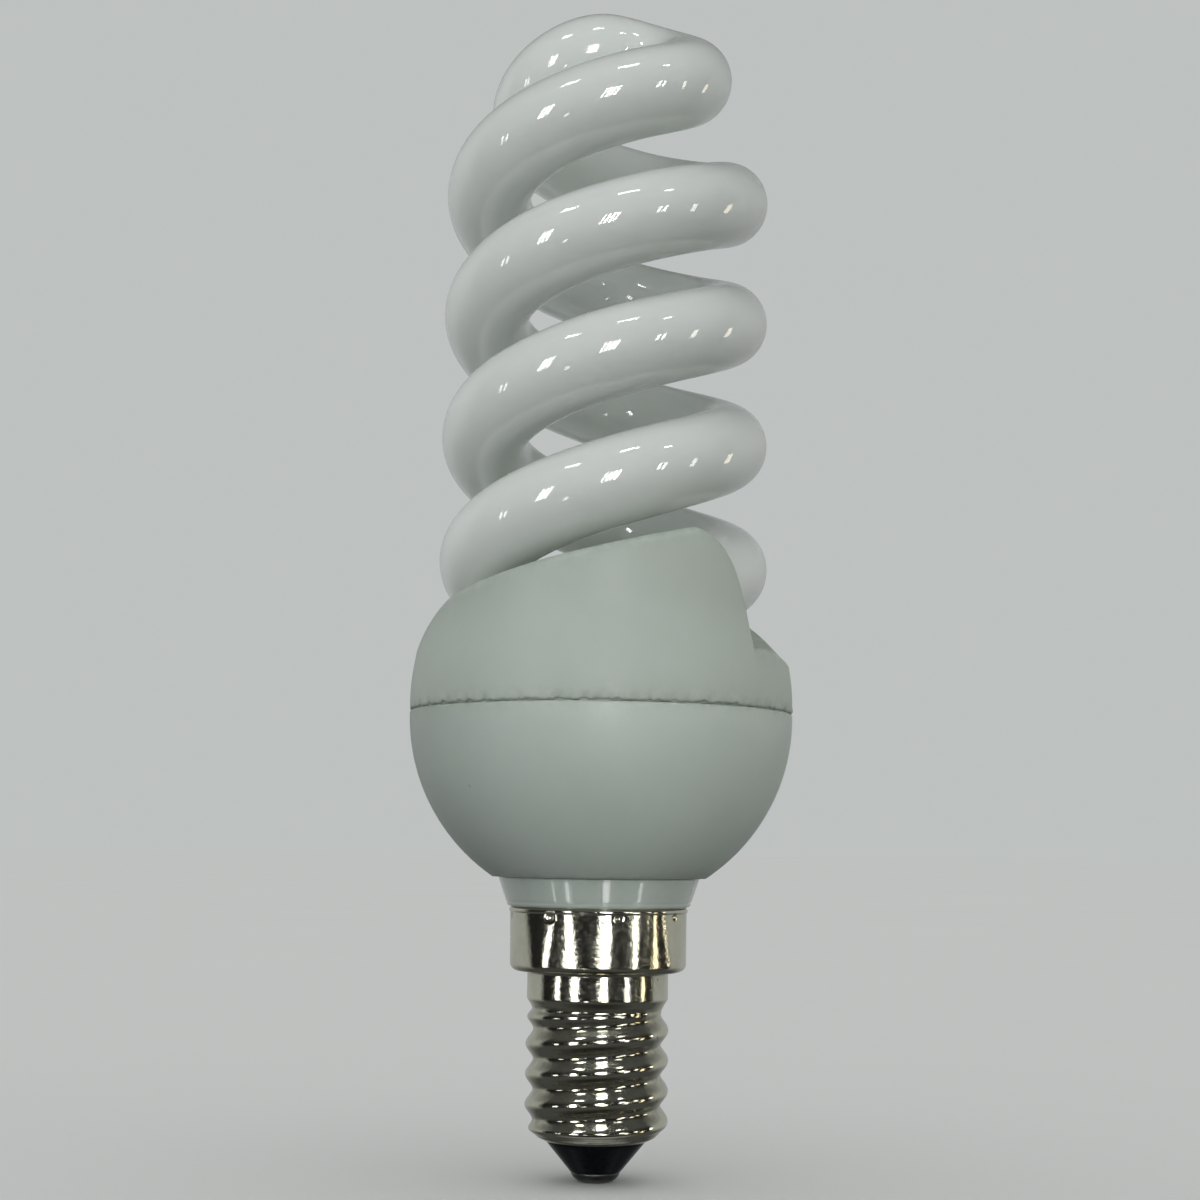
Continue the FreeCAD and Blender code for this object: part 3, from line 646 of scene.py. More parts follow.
@dataclass
class UpperCover:
    """Moulded cover: ball, shoulder wall, helical ramps with rounded ends and steps, and the hub between."""

    tube: SpiralTube = field(default_factory=SpiralTube)
    seam: float = field(default_factory=lambda: high_mm("lower_housing").z)
    lip_bottom: float = field(default_factory=lambda: low_mm("upper_cover").z)
    ball_radius: float = field(default_factory=lambda: high_mm("upper_cover").x)
    ball_inset: float = 0.3
    band: float = 1.05
    shoulder_radius: float = 17.2
    shoulder_blend: float = 1.0
    wall: float = 1.0
    ramp_gap: float = 1.9
    ramp_dip: float = 2.6
    dip_angle: float = 76.0
    step_angle: float = -38.5
    step_blend: float = 1.6
    step_wall_angle: float = 6.0
    round_angle: float = 22.0
    round_height: float = 11.0
    round_end: float = 78.0
    hub_radius: float = 6.3
    hub_rise: float = 6.4
    hub_crown: float = 1.1
    hub_foot: float = 0.35
    hub_hole: float = 0.3
    hub_eye: float = 0.06
    least_room: float = 0.05
    edge: float = 0.9
    seam_edge: float = 0.26
    seam_gap: float = 0.02
    flash: float = 0.30
    flash_out: float = 0.5
    flash_waves: Waves = ((5, 10.0), (13, 80.0), (31, 200.0), (58, 15.0), (97, 120.0))
    lip_radius: float = 16.9
    lip_wall: float = 1.2
    # Reach of the darkening at the seam, painted shade with some dirt, and weight of the painted shade on
    # the roof under the tube.
    shade_and_dirt_reach: float = 0.7
    roof_shade: float = 0.8
    sharp_angle: float = 38.0
    foot_rows: int = 5
    wall_rows: int = 40
    rim_rows: int = 7
    roof_rows: int = 17
    hub_rows: int = 10
    crown_rows: int = 7
    inner_rows: int = 20
    columns: int = 720

    def ramp_low(self) -> float:
        """Height of a ramp's start, under the tube by the gap."""
        return self.tube.underside(self.step_angle) - self.ramp_gap

    def ramp(self, angle: Array) -> Array:
        """Height of the roof at each angle.

        From each step the roof rises by the lead for each turn, less a dip that is a squared sine over the
        first stretch. Over the last stretch it falls along an ellipse, and over the blend at the step it
        drops to the next ramp's start.

        Args:
            angle: angles about the axis.

        Returns:
            One height for each angle.
        """
        along = np.mod(angle - self.step_angle, 180.0)
        run = 180.0 - self.round_angle
        dip = self.ramp_dip * np.sin(np.pi * np.minimum(1.0, along / self.dip_angle)) ** 2
        slope = self.ramp_low() + self.tube.slope() * np.minimum(along, run) - dip
        share = np.clip((along - run) / self.round_angle, 0.0, 1.0)
        turn = np.arcsin(share * math.sin(math.radians(self.round_end)))
        fall = self.round_height * (1.0 - np.cos(turn))
        drop = smooth_step((along - (180.0 - self.step_blend)) / self.step_blend)
        return (slope - fall) * (1.0 - drop) + self.ramp_low() * drop

    def on_ball(self, height: Array, radius: float) -> Array:
        """Radius of a ball at each height, about the band's top on the axis."""
        return np.sqrt(np.maximum(0.0, radius ** 2 - (height - self.seam - self.band) ** 2))

    def side_wall(self, top: Array, ball: float, shoulder: float, low: float, rows: int) -> Array:
        """Wall at each angle: the upright band, then the ball, then the shoulder, softly joined.

        Args:
            top: height of the wall's top at each angle.
            ball: the ball's radius.
            shoulder: the shoulder's radius.
            low: height of the wall's foot.
            rows: number of rows from foot to top.

        Returns:
            Points (radius, height) of rows by angles by 2.
        """
        share = np.linspace(0.0, 1.0, rows)[:, None]
        height = low + share * (top - low)
        bulge = np.where(height < self.seam + self.band, ball, self.on_ball(height, ball))
        return pairs(smooth_maximum(bulge, shoulder, self.shoulder_blend), height)

    def outer(self, angle: Array) -> Array:
        """Outer profile: seam edge with its flash, wall, rounded rim, roof, hub and the hub's crowned top.

        Edge and rim are quarter circles. The crown is the root of one less the cube of the share of the way
        out from the axis.

        Args:
            angle: angles about the axis.

        Returns:
            Points (radius, height) of rows by angles by 2.
        """
        roof = self.ramp(angle)
        hub_top = self.ramp_low() + self.hub_rise
        uneven = self.flash * wobble(angle, self.flash_waves)
        turn = np.radians(np.linspace(-90.0, 0.0, self.foot_rows))[:, None]
        foot_radius = self.ball_radius - self.seam_edge + uneven * self.flash_out
        foot_height = self.seam + self.seam_edge + np.abs(uneven)
        foot = pairs(foot_radius + self.seam_edge * np.cos(turn),
                     foot_height + self.seam_edge * np.sin(turn))
        wall_foot = self.seam + 2.0 * self.seam_edge + self.flash
        wall = self.side_wall(roof - self.edge, self.ball_radius, self.shoulder_radius, wall_foot,
                              self.wall_rows)
        bend = np.radians(np.linspace(0.0, 90.0, self.rim_rows + 1))[1:, None]
        rim_radius = wall[-1, :, 0] - self.edge
        rim = pairs(rim_radius + self.edge * np.cos(bend), roof - self.edge + self.edge * np.sin(bend))
        hub = self.hub_radius - self.wall * smooth_step((roof - hub_top) / self.edge + 0.5)
        share = np.linspace(0.0, 1.0, self.roof_rows + 1)[1:, None]
        floor = pairs(rim_radius + share * (hub + self.hub_foot - rim_radius), roof)
        climb = np.linspace(0.0, 1.0, self.hub_rows)[:, None]
        side = pairs(hub, roof + climb * (hub_top - roof))
        inward = np.linspace(1.0, self.hub_eye, self.crown_rows + 1)[1:, None]
        top = pairs(hub * inward, hub_top + self.hub_crown * np.sqrt(1.0 - inward ** 3))
        return np.concatenate([foot, wall, rim, floor, side, top])

    def inner(self, angle: Array) -> Array:
        """Inner profile from under the hub's top to the lip: the outer one set in by the wall.

        Args:
            angle: angles about the axis.

        Returns:
            Points (radius, height) of rows by angles by 2.
        """
        level = np.ones(len(angle))
        room_top = self.ramp_low() - self.wall
        hub_top = room_top + self.hub_rise
        under_ramp = self.ramp(angle + self.step_wall_angle) - self.tube.slope() * self.step_wall_angle
        ceiling = np.maximum(under_ramp - self.wall, room_top + self.least_room)
        bore, pocket = self.hub_radius - self.wall, self.hub_radius + self.wall
        inside = self.shoulder_radius - self.wall
        ball = self.ball_radius - self.wall - self.ball_inset
        lip_top = self.seam + self.lip_wall
        wall = self.side_wall(ceiling, ball, inside, lip_top, self.inner_rows)[::-1]
        wall[0, :, 0] = np.minimum(wall[0, :, 0], inside)
        lip_inner = self.lip_radius - self.lip_wall
        seat = self.seam + self.seam_gap
        middle = [
            (self.hub_hole, hub_top), (bore, hub_top), (bore, room_top),
            (pocket, room_top), (pocket, ceiling),
        ]
        lip = [
            (lip_inner, lip_top), (lip_inner, self.lip_bottom), (self.lip_radius, self.lip_bottom),
            (self.lip_radius, seat), (self.ball_radius - self.seam_edge, seat),
        ]
        middle_rows, lip_rows = (
            np.stack([pairs(radius * level, height * level) for radius, height in corners])
            for corners in (middle, lip)
        )
        return np.concatenate([middle_rows, wall, lip_rows])

    def build(self, effects: Effects) -> None:
        """Makes and dresses the cover, inner and outer skin as one closed surface.

        Args:
            effects: the shared groups.
        """
        angle = np.arange(self.columns) * 360.0 / self.columns
        profile = np.concatenate([self.inner(angle), self.outer(angle)])
        piece = grid_piece("moulded_cover", spin(profile, self.columns), Ends.POLES, self.sharp_angle)
        # Darkening near the seam (painted shade with some dirt) and on the roof under the tube (painted
        # shade).
        from_seam = np.abs(profile[..., 1] - self.seam)
        from_roof = np.abs(self.ramp(angle) - profile[..., 1])
        add_attribute(piece, SHADE_AND_DIRT, np.exp(-from_seam / self.shade_and_dirt_reach)
                      + self.roof_shade * np.exp(-from_roof / self.shade_and_dirt_reach))
        settle(piece, COVER_PLASTIC.make(effects), "cover_plastic", "upper_cover")


@dataclass
class LowerHousing:
    """Moulded lower half: spigot, glossy neck, and the ball up to the seam, with its inside."""

    seam: float = field(default_factory=lambda: high_mm("lower_housing").z)
    bottom: float = field(default_factory=lambda: low_mm("lower_housing").z)
    ball_radius: float = field(default_factory=lambda: high_mm("lower_housing").x)
    ball_wall: float = 1.3
    centre_drop: float = 0.35
    spigot_radius: float = 7.95
    spigot_bore: float = 6.85
    neck_base: float = 25.5
    neck_top: float = 28.3
    neck_low: float = 8.8
    neck_high: float = 9.55
    neck_round: float = 0.4
    neck_round_end: float = 8.0
    neck_start: Point = (0.06, 0.15)
    ledge: float = 0.67
    ledge_round: float = 0.25
    seam_edge: float = 0.26
    gloss_margin: Point = (0.4, 0.05)
    shade_and_dirt_reach: float = 0.5
    sharp_angle: float = 38.0
    columns: int = 240

    def profile(self) -> Array:
        """Outline of half the section: spigot, neck, ball, seam edge, then back down the inside.

        Returns:
            Points (radius, height) in order.
        """
        centre = self.seam - self.centre_drop
        ball_low = self.neck_high + self.ledge
        start = math.degrees(math.asin(-math.sqrt(self.ball_radius ** 2 - ball_low ** 2) / self.ball_radius))
        inner = self.ball_radius - self.ball_wall
        bore_top = self.neck_top + self.ball_wall
        inner_start = math.degrees(math.asin((bore_top - centre) / inner))
        foot = (self.neck_low - self.neck_round, self.neck_base + self.neck_round)
        neck_foot = (self.neck_low + self.neck_start[0], foot[1] + self.neck_start[1])
        ledge_low = self.neck_top - self.ledge_round
        edge_centre = (self.ball_radius - self.seam_edge, self.seam - self.seam_edge)
        return np.vstack([
            line((self.spigot_bore, self.bottom), (self.spigot_radius, self.bottom), rows=3),
            line((self.spigot_radius, self.bottom), (self.spigot_radius, self.neck_base), rows=8),
            line((self.spigot_radius, self.neck_base), (foot[0], self.neck_base), rows=3),
            arc(foot, self.neck_round, -90.0, self.neck_round_end, rows=9),
            line(neck_foot, (self.neck_high, ledge_low), rows=10),
            arc((self.neck_high + self.ledge_round, ledge_low), self.ledge_round, 180.0, 90.0, rows=6),
            arc((0.0, centre), self.ball_radius, start, 0.0, rows=70),
            arc(edge_centre, self.seam_edge, 0.0, 90.0, rows=6),
            line((edge_centre[0], self.seam), (inner, self.seam), rows=4)[1:],
            arc((0.0, centre), inner, 0.0, inner_start, rows=30),
            line((self.spigot_bore, bore_top), (self.spigot_bore, self.bottom), rows=8),
        ])

    def build(self, effects: Effects) -> None:
        """Makes and dresses the housing, with the neck's gloss and the darkening at its edges, painted shade
        with some dirt, as attributes.

        Args:
            effects: the shared groups.
        """
        profile = self.profile()
        radius, height = profile[:, 0], profile[:, 1]
        piece = grid_piece("ball_housing", spin(profile, self.columns), Ends.LOOP, self.sharp_angle)
        on_neck = radius < self.neck_high + self.gloss_margin[0]
        shiny = on_neck & (height < self.neck_top + self.gloss_margin[1])
        add_attribute(piece, GLOSS, np.repeat(shiny.astype(np.float32), self.columns))
        # Darkening at the seam and at the neck's foot: painted shade in these creases, with some dirt.
        near = np.minimum(np.abs(height - self.seam), np.abs(height - self.neck_top))
        add_attribute(piece, SHADE_AND_DIRT, np.repeat(np.exp(-near / self.shade_and_dirt_reach), self.columns))
        settle(piece, SHADED_HOUSING_PLASTIC.make(effects), "housing_plastic", "lower_housing")


@dataclass
class RolledShell:
    """Screw shell rolled from sheet: rounded thread, plain collar, and a skirt with staking marks."""

    sheet: float = 0.35
    low_lift: float = 0.45
    top_lift: float = 0.4
    end_radius: float = 5.0
    end_lip: float = 0.3
    end_slope: Point = (5.6, 4.15)
    end_bend: Point = (5.95, 4.5)
    minor_radius: float = 6.05
    depth: float = 0.72
    pitch: float = 2.8
    crest_power: float = 0.85
    first_crest: float = 5.65
    thread_low: float = 4.8
    thread_lead_in: float = 0.5
    thread_rise: float = 0.9
    thread_run_out: float = 1.5
    collar_start: float = 16.4
    collar_blend: float = 0.5
    collar_radius: float = 6.7
    collar_round: float = 0.25
    skirt_floor: float = 19.5
    skirt_radius: float = 8.4
    skirt_round: float = 0.7
    floor_start: float = 0.05
    floor_margin: float = 0.3
    wall_start: float = 0.1
    stake_band: float = 1.7
    edge_band: float = 0.35
    edge_round: float = 0.2
    edge_start: float = -30.0
    bead: float = 0.10
    stake_count: int = 8
    stake_angle: float = 13.0
    stake_drop: float = 0.75
    stake_spread: float = 0.3125
    stake_depth: float = 0.22
    ripple_depth: float = 0.09
    ripple_waves: Waves = ((4, 35.0), (7, 130.0), (11, 260.0))
    shade_and_dirt_reach: float = 0.4
    sharp_angle: float = 60.0
    inner_step: int = 3
    columns: int = 288

    def low(self) -> float:
        """Height of the shell's lower end."""
        return low_mm("screw_shell").z + self.low_lift

    def top(self) -> float:
        """Height of the skirt's top edge."""
        return high_mm("screw_shell").z + self.top_lift

    def thread(self, angle: Array, height: Array) -> Array:
        """Radius added by the rounded thread.

        A raised cosine of the height less the pitch's share of the angle, raised to a power a little under
        one so that the crests are full, and faded in and out at the thread's ends.

        Args:
            angle: angles about the axis.
            height: heights of rows by angles.

        Returns:
            One radius for each height.
        """
        phase = (height - self.first_crest) / self.pitch - angle / 360.0
        wave = (0.5 + 0.5 * np.cos(2.0 * np.pi * phase)) ** self.crest_power
        fade_in = smooth_step((height - self.thread_low + self.thread_lead_in) / self.thread_rise)
        fade_out = 1.0 - smooth_step((height - self.collar_start) / self.thread_run_out + 1.0)
        return self.depth * wave * fade_in * fade_out

    def stakes(self, angle: Array, height: Array) -> Array:
        """Depth of the staking marks: round bell curves spaced evenly round the skirt near its top.

        Args:
            angle: angles about the axis.
            height: heights of rows by angles.

        Returns:
            One depth for each height.
        """
        space = 360.0 / self.stake_count
        off = np.mod(angle - FRONT - self.stake_angle + space / 2.0, space) - space / 2.0
        across = np.radians(off) * self.skirt_radius
        down = height - (self.top() - self.stake_drop)
        bell = np.exp(-(across ** 2 + down ** 2) / self.stake_spread ** 2)
        return self.stake_depth * bell * (height > self.skirt_floor)

    def ripple(self, angle: Array, height: Array) -> Array:
        """Unevenness of the drawn skirt: a closed uneven line times the share of height from its middle.

        Args:
            angle: angles about the axis.
            height: heights of rows by angles.

        Returns:
            One radius for each height.
        """
        half = 0.5 * (self.top() - self.skirt_floor)
        share = np.clip((height - self.skirt_floor) / half - 1.0, -1.0, 1.0) * (height > self.skirt_floor)
        return self.ripple_depth * share * wobble(angle, self.ripple_waves)

    def profile(self) -> Array:
        """Outer outline of the shell from its lower end to its top edge.

        Returns:
            Points (radius, height) in order.
        """
        low, top = self.low(), self.top()
        corner = (self.skirt_radius - self.skirt_round, self.skirt_floor + self.skirt_round)
        inner_corner = (self.collar_radius + self.collar_round, self.skirt_floor - self.collar_round)
        thread_start = (self.minor_radius, self.thread_low)
        thread_end = (self.minor_radius, self.collar_start - self.collar_blend)
        collar_foot = (self.collar_radius, self.collar_start + self.collar_blend)
        stake_foot = (self.skirt_radius, top - self.stake_band)
        edge_centre = (self.skirt_radius - self.edge_round, top - self.edge_round)
        floor_inside = (inner_corner[0] + self.floor_start, self.skirt_floor)
        return np.vstack([
            line((self.end_radius - self.end_lip, low), (self.end_radius, low), rows=2),
            line((self.end_radius, low), self.end_slope, rows=6),
            line(self.end_slope, self.end_bend, rows=5),
            line(self.end_bend, thread_start, rows=4),
            line(thread_start, thread_end, rows=110),
            line(thread_end, collar_foot, rows=10),
            line(collar_foot, (self.collar_radius, inner_corner[1]), rows=10),
            arc(inner_corner, self.collar_round, 180.0, 90.0, rows=6),
            line(floor_inside, (corner[0], self.skirt_floor), rows=4),
            arc(corner, self.skirt_round, -90.0, 0.0, rows=10),
            line((self.skirt_radius, corner[1] + self.wall_start), stake_foot, rows=12),
            line(stake_foot, (self.skirt_radius, top - self.edge_band), rows=22),
            arc(edge_centre, self.edge_round + self.bead, self.edge_start, 90.0, rows=8),
        ])

    def build(self, effects: Effects) -> None:
        """Makes and dresses the shell: the outer skin, then the same skin set in by the sheet.

        Args:
            effects: the shared groups.
        """
        angle = np.arange(self.columns) * 360.0 / self.columns
        outline = self.profile()
        height = np.repeat(outline[:, 1:], self.columns, axis=1)
        radius = outline[:, :1] + self.thread(angle, height) + self.ripple(angle, height)
        outer = pairs(radius - self.stakes(angle, height), height)
        inner = outer[::-self.inner_step].copy()
        inner[..., 0] -= self.sheet
        at_floor = (inner[..., 1] > self.skirt_floor - self.floor_margin) & (
            inner[..., 1] < self.skirt_floor + self.skirt_round)
        inner[..., 1] += np.where(at_floor, self.sheet, 0.0)
        points = spin(np.concatenate([outer, inner]), self.columns)
        piece = grid_piece("rolled_shell", points, Ends.LOOP, self.sharp_angle)
        # Darkening in the thread's valleys and at the skirt's floor corner: painted shade in these hollows,
        # with some dirt.
        valley = (1.0 - self.thread(angle, height) / self.depth) * (height < self.collar_start)
        corner = np.exp(-np.abs(height - self.skirt_floor) / self.shade_and_dirt_reach)
        add_attribute(piece, SHADE_AND_DIRT, np.clip(valley + corner, 0.0, 1.0))
        settle(piece, NICKEL_SHEET.make(effects), "nickel_sheet", "screw_shell")


@dataclass
class CapTip:
    """Black glass cone in the shell's lower end, and the metal dome with its eyelet under it."""

    contact_radius: float = 2.3
    contact_land: float = 1.0
    contact_height: float = 0.75
    contact_top: float = 0.95
    contact_rim: float = 0.08
    contact_eye: float = 0.25
    contact_roof_eye: float = 0.1
    bow: float = 0.25
    bow_way: Point = (0.58, -0.81)
    eyelet_radius: float = 0.9
    eyelet_bore: float = 0.45
    eyelet_top: float = 4.15
    dome_rows: int = 10
    contact_columns: int = 96
    contact_sharp: float = 50.0
    hole_radius: float = 0.95
    cone_radius: float = 4.8
    cone_top: float = 3.85
    cone_seat: float = 0.05
    cone_round: float = 0.12
    cone_round_end: float = -40.0
    cone_start: Point = (0.18, 0.1)
    cone_end: Point = (-0.1, -0.15)
    cone_flare: float = 0.1
    flange_radius: float = 5.7
    flange_low: float = 4.5
    flange_top: float = 5.5
    cone_columns: int = 128
    cone_sharp: float = 40.0

    def build_cone(self, effects: Effects) -> None:
        """Makes and dresses the black cone, with its flange inside the shell and the eyelet's hole.

        Args:
            effects: the shared groups.
        """
        seat = self.contact_radius + self.cone_seat
        foot = (seat, self.contact_top + self.cone_round)
        start = (self.contact_radius + self.cone_start[0], self.contact_top + self.cone_start[1])
        end = (self.cone_radius + self.cone_end[0], self.cone_top + self.cone_end[1])
        flare = (self.cone_radius + self.cone_flare, self.flange_low)
        profile = np.vstack([
            line((self.hole_radius, self.contact_top), (seat, self.contact_top), rows=4),
            arc(foot, self.cone_round, -90.0, self.cone_round_end, rows=4),
            line(start, end, rows=14),
            line((self.cone_radius, self.cone_top), flare, rows=6),
            line(flare, (self.flange_radius, self.flange_low), rows=3),
            line((self.flange_radius, self.flange_low), (self.flange_radius, self.flange_top), rows=4),
            line((self.flange_radius, self.flange_top), (self.hole_radius, self.flange_top), rows=4),
            line((self.hole_radius, self.flange_top), (self.hole_radius, self.contact_top), rows=6),
        ])
        piece = grid_piece("black_cone", spin(profile, self.cone_columns), Ends.LOOP, self.cone_sharp)
        settle(piece, BLACK_GLASS.make(effects), "black_glass", "insulator")

    def build_contact(self, effects: Effects) -> None:
        """Makes and dresses the dome with its rim and eyelet.

        The dome is a straight run from its flat land to its rim, bowed outward by a sine.

        Args:
            effects: the shared groups.
        """
        top, rim, eyelet = self.contact_top, self.contact_rim, self.eyelet_radius
        share = np.linspace(0.0, 1.0, self.dome_rows)
        bow = self.bow * np.sin(np.pi * share)
        out = self.contact_land + share * (self.contact_radius - self.contact_land) + bow * self.bow_way[0]
        dome = pairs(out, np.maximum(share * self.contact_height + bow * self.bow_way[1], 0.0))
        profile = np.vstack([
            line((self.contact_eye, 0.0), (self.contact_land, 0.0), rows=4),
            dome,
            arc((self.contact_radius - rim, top - rim), rim, 0.0, 90.0, rows=4),
            line((self.contact_radius - 2.0 * rim, top), (eyelet, top), rows=4),
            line((eyelet, top), (eyelet, self.eyelet_top), rows=4),
            line((eyelet, self.eyelet_top), (self.eyelet_bore, self.eyelet_top), rows=3),
            line((self.eyelet_bore, self.eyelet_top), (self.eyelet_bore, top), rows=4),
            line((self.eyelet_bore, top), (self.contact_roof_eye, top), rows=3),
        ])
        points = spin(profile, self.contact_columns)
        piece = grid_piece("contact_dome", points, Ends.POLES, self.contact_sharp)
        settle(piece, CONTACT_METAL.make(effects), "contact_metal", "centre_contact")

    def build(self, effects: Effects) -> None:
        """Makes the cone and the contact."""
        self.build_cone(effects)
        self.build_contact(effects)


class InnerParts:
    """Board, components, leads and cement, which keep their solids and get their own finishes."""

    def build(self, effects: Effects) -> None:
        """Dresses each node by its slot in the record.

        Args:
            effects: the shared groups.
        """
        made = {slot: finish.make(effects) for slot, finish in INNER_FINISHES.items()}
        for row in frame["record"]["subparts"]:
            material = made.get(row["material_slot"])
            if material is None:
                continue
            mesh = frame["nodes"][row["node"]].data
            mesh.materials.clear()
            mesh.materials.append(material)
            LOG.info("%s: dressed as %s", row["node"], row["material_slot"])


@dataclass(frozen=True)
class Window:
    """One bright panel of the light rig, by its direction from the lamp and its size.

    Azimuth 0 is behind the camera and positive is to the right, both angles in degrees. Width and height are
    in metres, and power is in watts. A panel without shine isn't seen in reflections.
    """

    azimuth: float
    elevation: float
    width: float
    height: float
    power: float
    warmth: float = 0.0
    lit: Lit = Lit.LAMP
    shine: bool = True
    green_loss: float = 0.15
    blue_loss: float = 0.5

    def way(self) -> Vector:
        """Direction from the lamp to the panel."""
        turn, lift = math.radians(self.azimuth), math.radians(self.elevation)
        return Vector((math.sin(turn) * math.cos(lift), -math.cos(turn) * math.cos(lift), math.sin(lift)))

    def colour(self) -> Colour:
        """White, with less green and blue as the panel gets warmer."""
        return 1.0, 1.0 - self.green_loss * self.warmth, 1.0 - self.blue_loss * self.warmth


@dataclass
class Studio:
    """Pale floor before a plain backdrop, soft light with small bright panels, and the camera.

    The first windows make the dashes on the tube, the next ones fill the tube and the lamp's back, and the
    last ones make the streaks on the shell and on the glossy neck. Each is given by azimuth, elevation,
    width, height and power, and then by warmth and what it shines on.
    """

    windows: tuple[Window, ...] = (
        Window(0.4, 6.0, 0.03, 0.40, 0.6),
        Window(3.4, 6.0, 0.04, 0.40, 0.8),
        Window(6.4, 6.0, 0.04, 0.40, 0.9),
        Window(9.4, 6.0, 0.04, 0.40, 0.9),
        Window(-42.0, 5.0, 0.04, 0.42, 0.7),
        Window(-39.0, 5.0, 0.04, 0.42, 0.7),
        Window(-36.0, 5.0, 0.04, 0.42, 0.7),
        Window(38.5, 6.0, 0.05, 0.27, 0.40, 0.1),
        Window(42.5, 6.0, 0.05, 0.27, 0.40, 0.1),
        Window(66.0, 4.0, 0.08, 0.30, 0.45, 0.3),
        Window(98.0, 3.0, 0.10, 0.28, 0.40, 0.6),
        Window(-66.0, -8.0, 0.04, 0.26, 0.22),
        Window(-70.0, -8.0, 0.04, 0.26, 0.22),
        Window(-19.0, -20.0, 0.06, 0.14, 0.14),
        Window(5.0, 63.0, 0.22, 0.10, 0.8),
        Window(44.0, 48.0, 0.12, 0.08, 0.35),
        Window(-45.0, 52.0, 0.20, 0.10, 0.7),
        Window(-105.0, -12.0, 0.80, 0.80, 2.8, 0.0, Lit.TUBE, shine=False),
        Window(-150.0, 10.0, 1.00, 1.00, 3.4, 0.0, Lit.LAMP, shine=False),
        Window(150.0, 10.0, 1.00, 1.00, 3.4, 0.0, Lit.LAMP, shine=False),
        Window(-37.0, -10.0, 0.22, 0.44, 1.2, 0.0, Lit.SHELL),
        Window(10.5, -10.0, 0.20, 0.44, 1.3, 0.0, Lit.SHELL),
        Window(49.0, -10.0, 0.11, 0.44, 0.7, 0.1, Lit.SHELL),
        Window(79.0, -10.0, 0.09, 0.44, 0.4, 0.8, Lit.SHELL),
        Window(-61.0, -41.0, 0.05, 0.32, 0.11, 0.0, Lit.HOUSING),
        Window(-42.0, -41.0, 0.09, 0.32, 0.22, 0.0, Lit.HOUSING),
        Window(10.0, -41.0, 0.14, 0.32, 0.38, 0.0, Lit.HOUSING),
        Window(56.0, -41.0, 0.08, 0.32, 0.17, 0.0, Lit.HOUSING),
    )
    floor_radius: float = 9000.0
    floor_rows: int = 30
    floor_columns: int = 96
    floor_light: float = 0.75
    floor_light_spread: float = 100.0
    backdrop: float = 0.535
    reach: float = 1.2
    aim: tuple[float, float, float] = (0.0, 0.0, 0.075)
    sky: Colour = (0.96, 1.0, 0.99)
    sky_range: Span = (0.03, 0.55)
    sky_span: Span = (0.0, 0.10)
    overhead_range: Span = (1.0, 0.35)
    overhead_span: Span = (0.2, 1.0)
    room_range: Span = (0.015, 0.40)
    room_span: Span = (0.12, 0.28)
    table: float = 0.075
    table_span: Span = (-0.55, -0.15)
    table_shade: Span = (-0.97, -0.80)
    ceiling: float = 0.08
    ceiling_span: Span = (0.3, 0.7)
    camera_distance: float = 195.0
    camera_height: float = 31.0
    camera_tilt: float = 7.03
    camera_roll: float = 0.73
    camera_clip: float = 0.01
    focal_pixels: float = 2018.2
    image_side: float = 1200.0
    axis_offset: float = 2.5
    sensor: float = 36.0

    def build_floor(self, effects: Effects) -> None:
        """Makes the floor: a level line carried round the axis.

        Args:
            effects: the shared groups.
        """
        profile = line((self.floor_radius, 0.0), (0.0, 0.0), self.floor_rows)
        floor = grid_piece(Lit.FLOOR.value, spin(profile, self.floor_columns), Ends.CUP)
        floor.data.materials.append(FLOOR_PAINT.make(effects))
        floor.visible_diffuse = False
        floor.visible_glossy = False
        floor.visible_shadow = False

    def receivers(self) -> dict[Lit, bpy.types.Collection]:
        """Gathers the pieces for each choice of what a panel shines on.

        Returns:
            One collection for each choice.
        """
        meshes = [item for item in bpy.context.scene.objects if item.type == "MESH"]
        gathered = {lit: bpy.data.collections.new(lit.value) for lit in Lit}
        for lit, collection in gathered.items():
            for piece in meshes:
                if piece.name == lit.value or (lit is Lit.LAMP and piece.name != Lit.FLOOR.value):
                    collection.objects.link(piece)
        return gathered

    def place_light(self, data: bpy.types.Light, lit: bpy.types.Collection) -> bpy.types.Object:
        """Puts a light into the scene.

        Args:
            data: the light itself.
            lit: the pieces that it shines on.

        Returns:
            The light's object, at the origin.
        """
        light = bpy.data.objects.new(data.name, data)
        light.light_linking.receiver_collection = lit
        bpy.context.scene.collection.objects.link(light)
        return light

    def build_lights(self) -> None:
        """Places each panel at its direction, facing the lamp, and a wide light from above for the floor."""
        receivers = self.receivers()
        for number, window in enumerate(self.windows, start=1):
            data = bpy.data.lights.new(f"window_{number}", "AREA")
            data.shape = "RECTANGLE"
            data.size, data.size_y = window.width, window.height
            data.energy = window.power
            data.color = window.colour()
            light = self.place_light(data, receivers[window.lit])
            light.location = Vector(self.aim) + window.way() * self.reach
            light.rotation_euler = window.way().to_track_quat("Z", "Y").to_euler()
            light.visible_glossy = window.shine
        data = bpy.data.lights.new("floor_light", "SUN")
        data.energy = self.floor_light
        data.angle = math.radians(self.floor_light_spread)
        self.place_light(data, receivers[Lit.FLOOR])
        bpy.context.scene.view_settings.view_transform = "Standard"

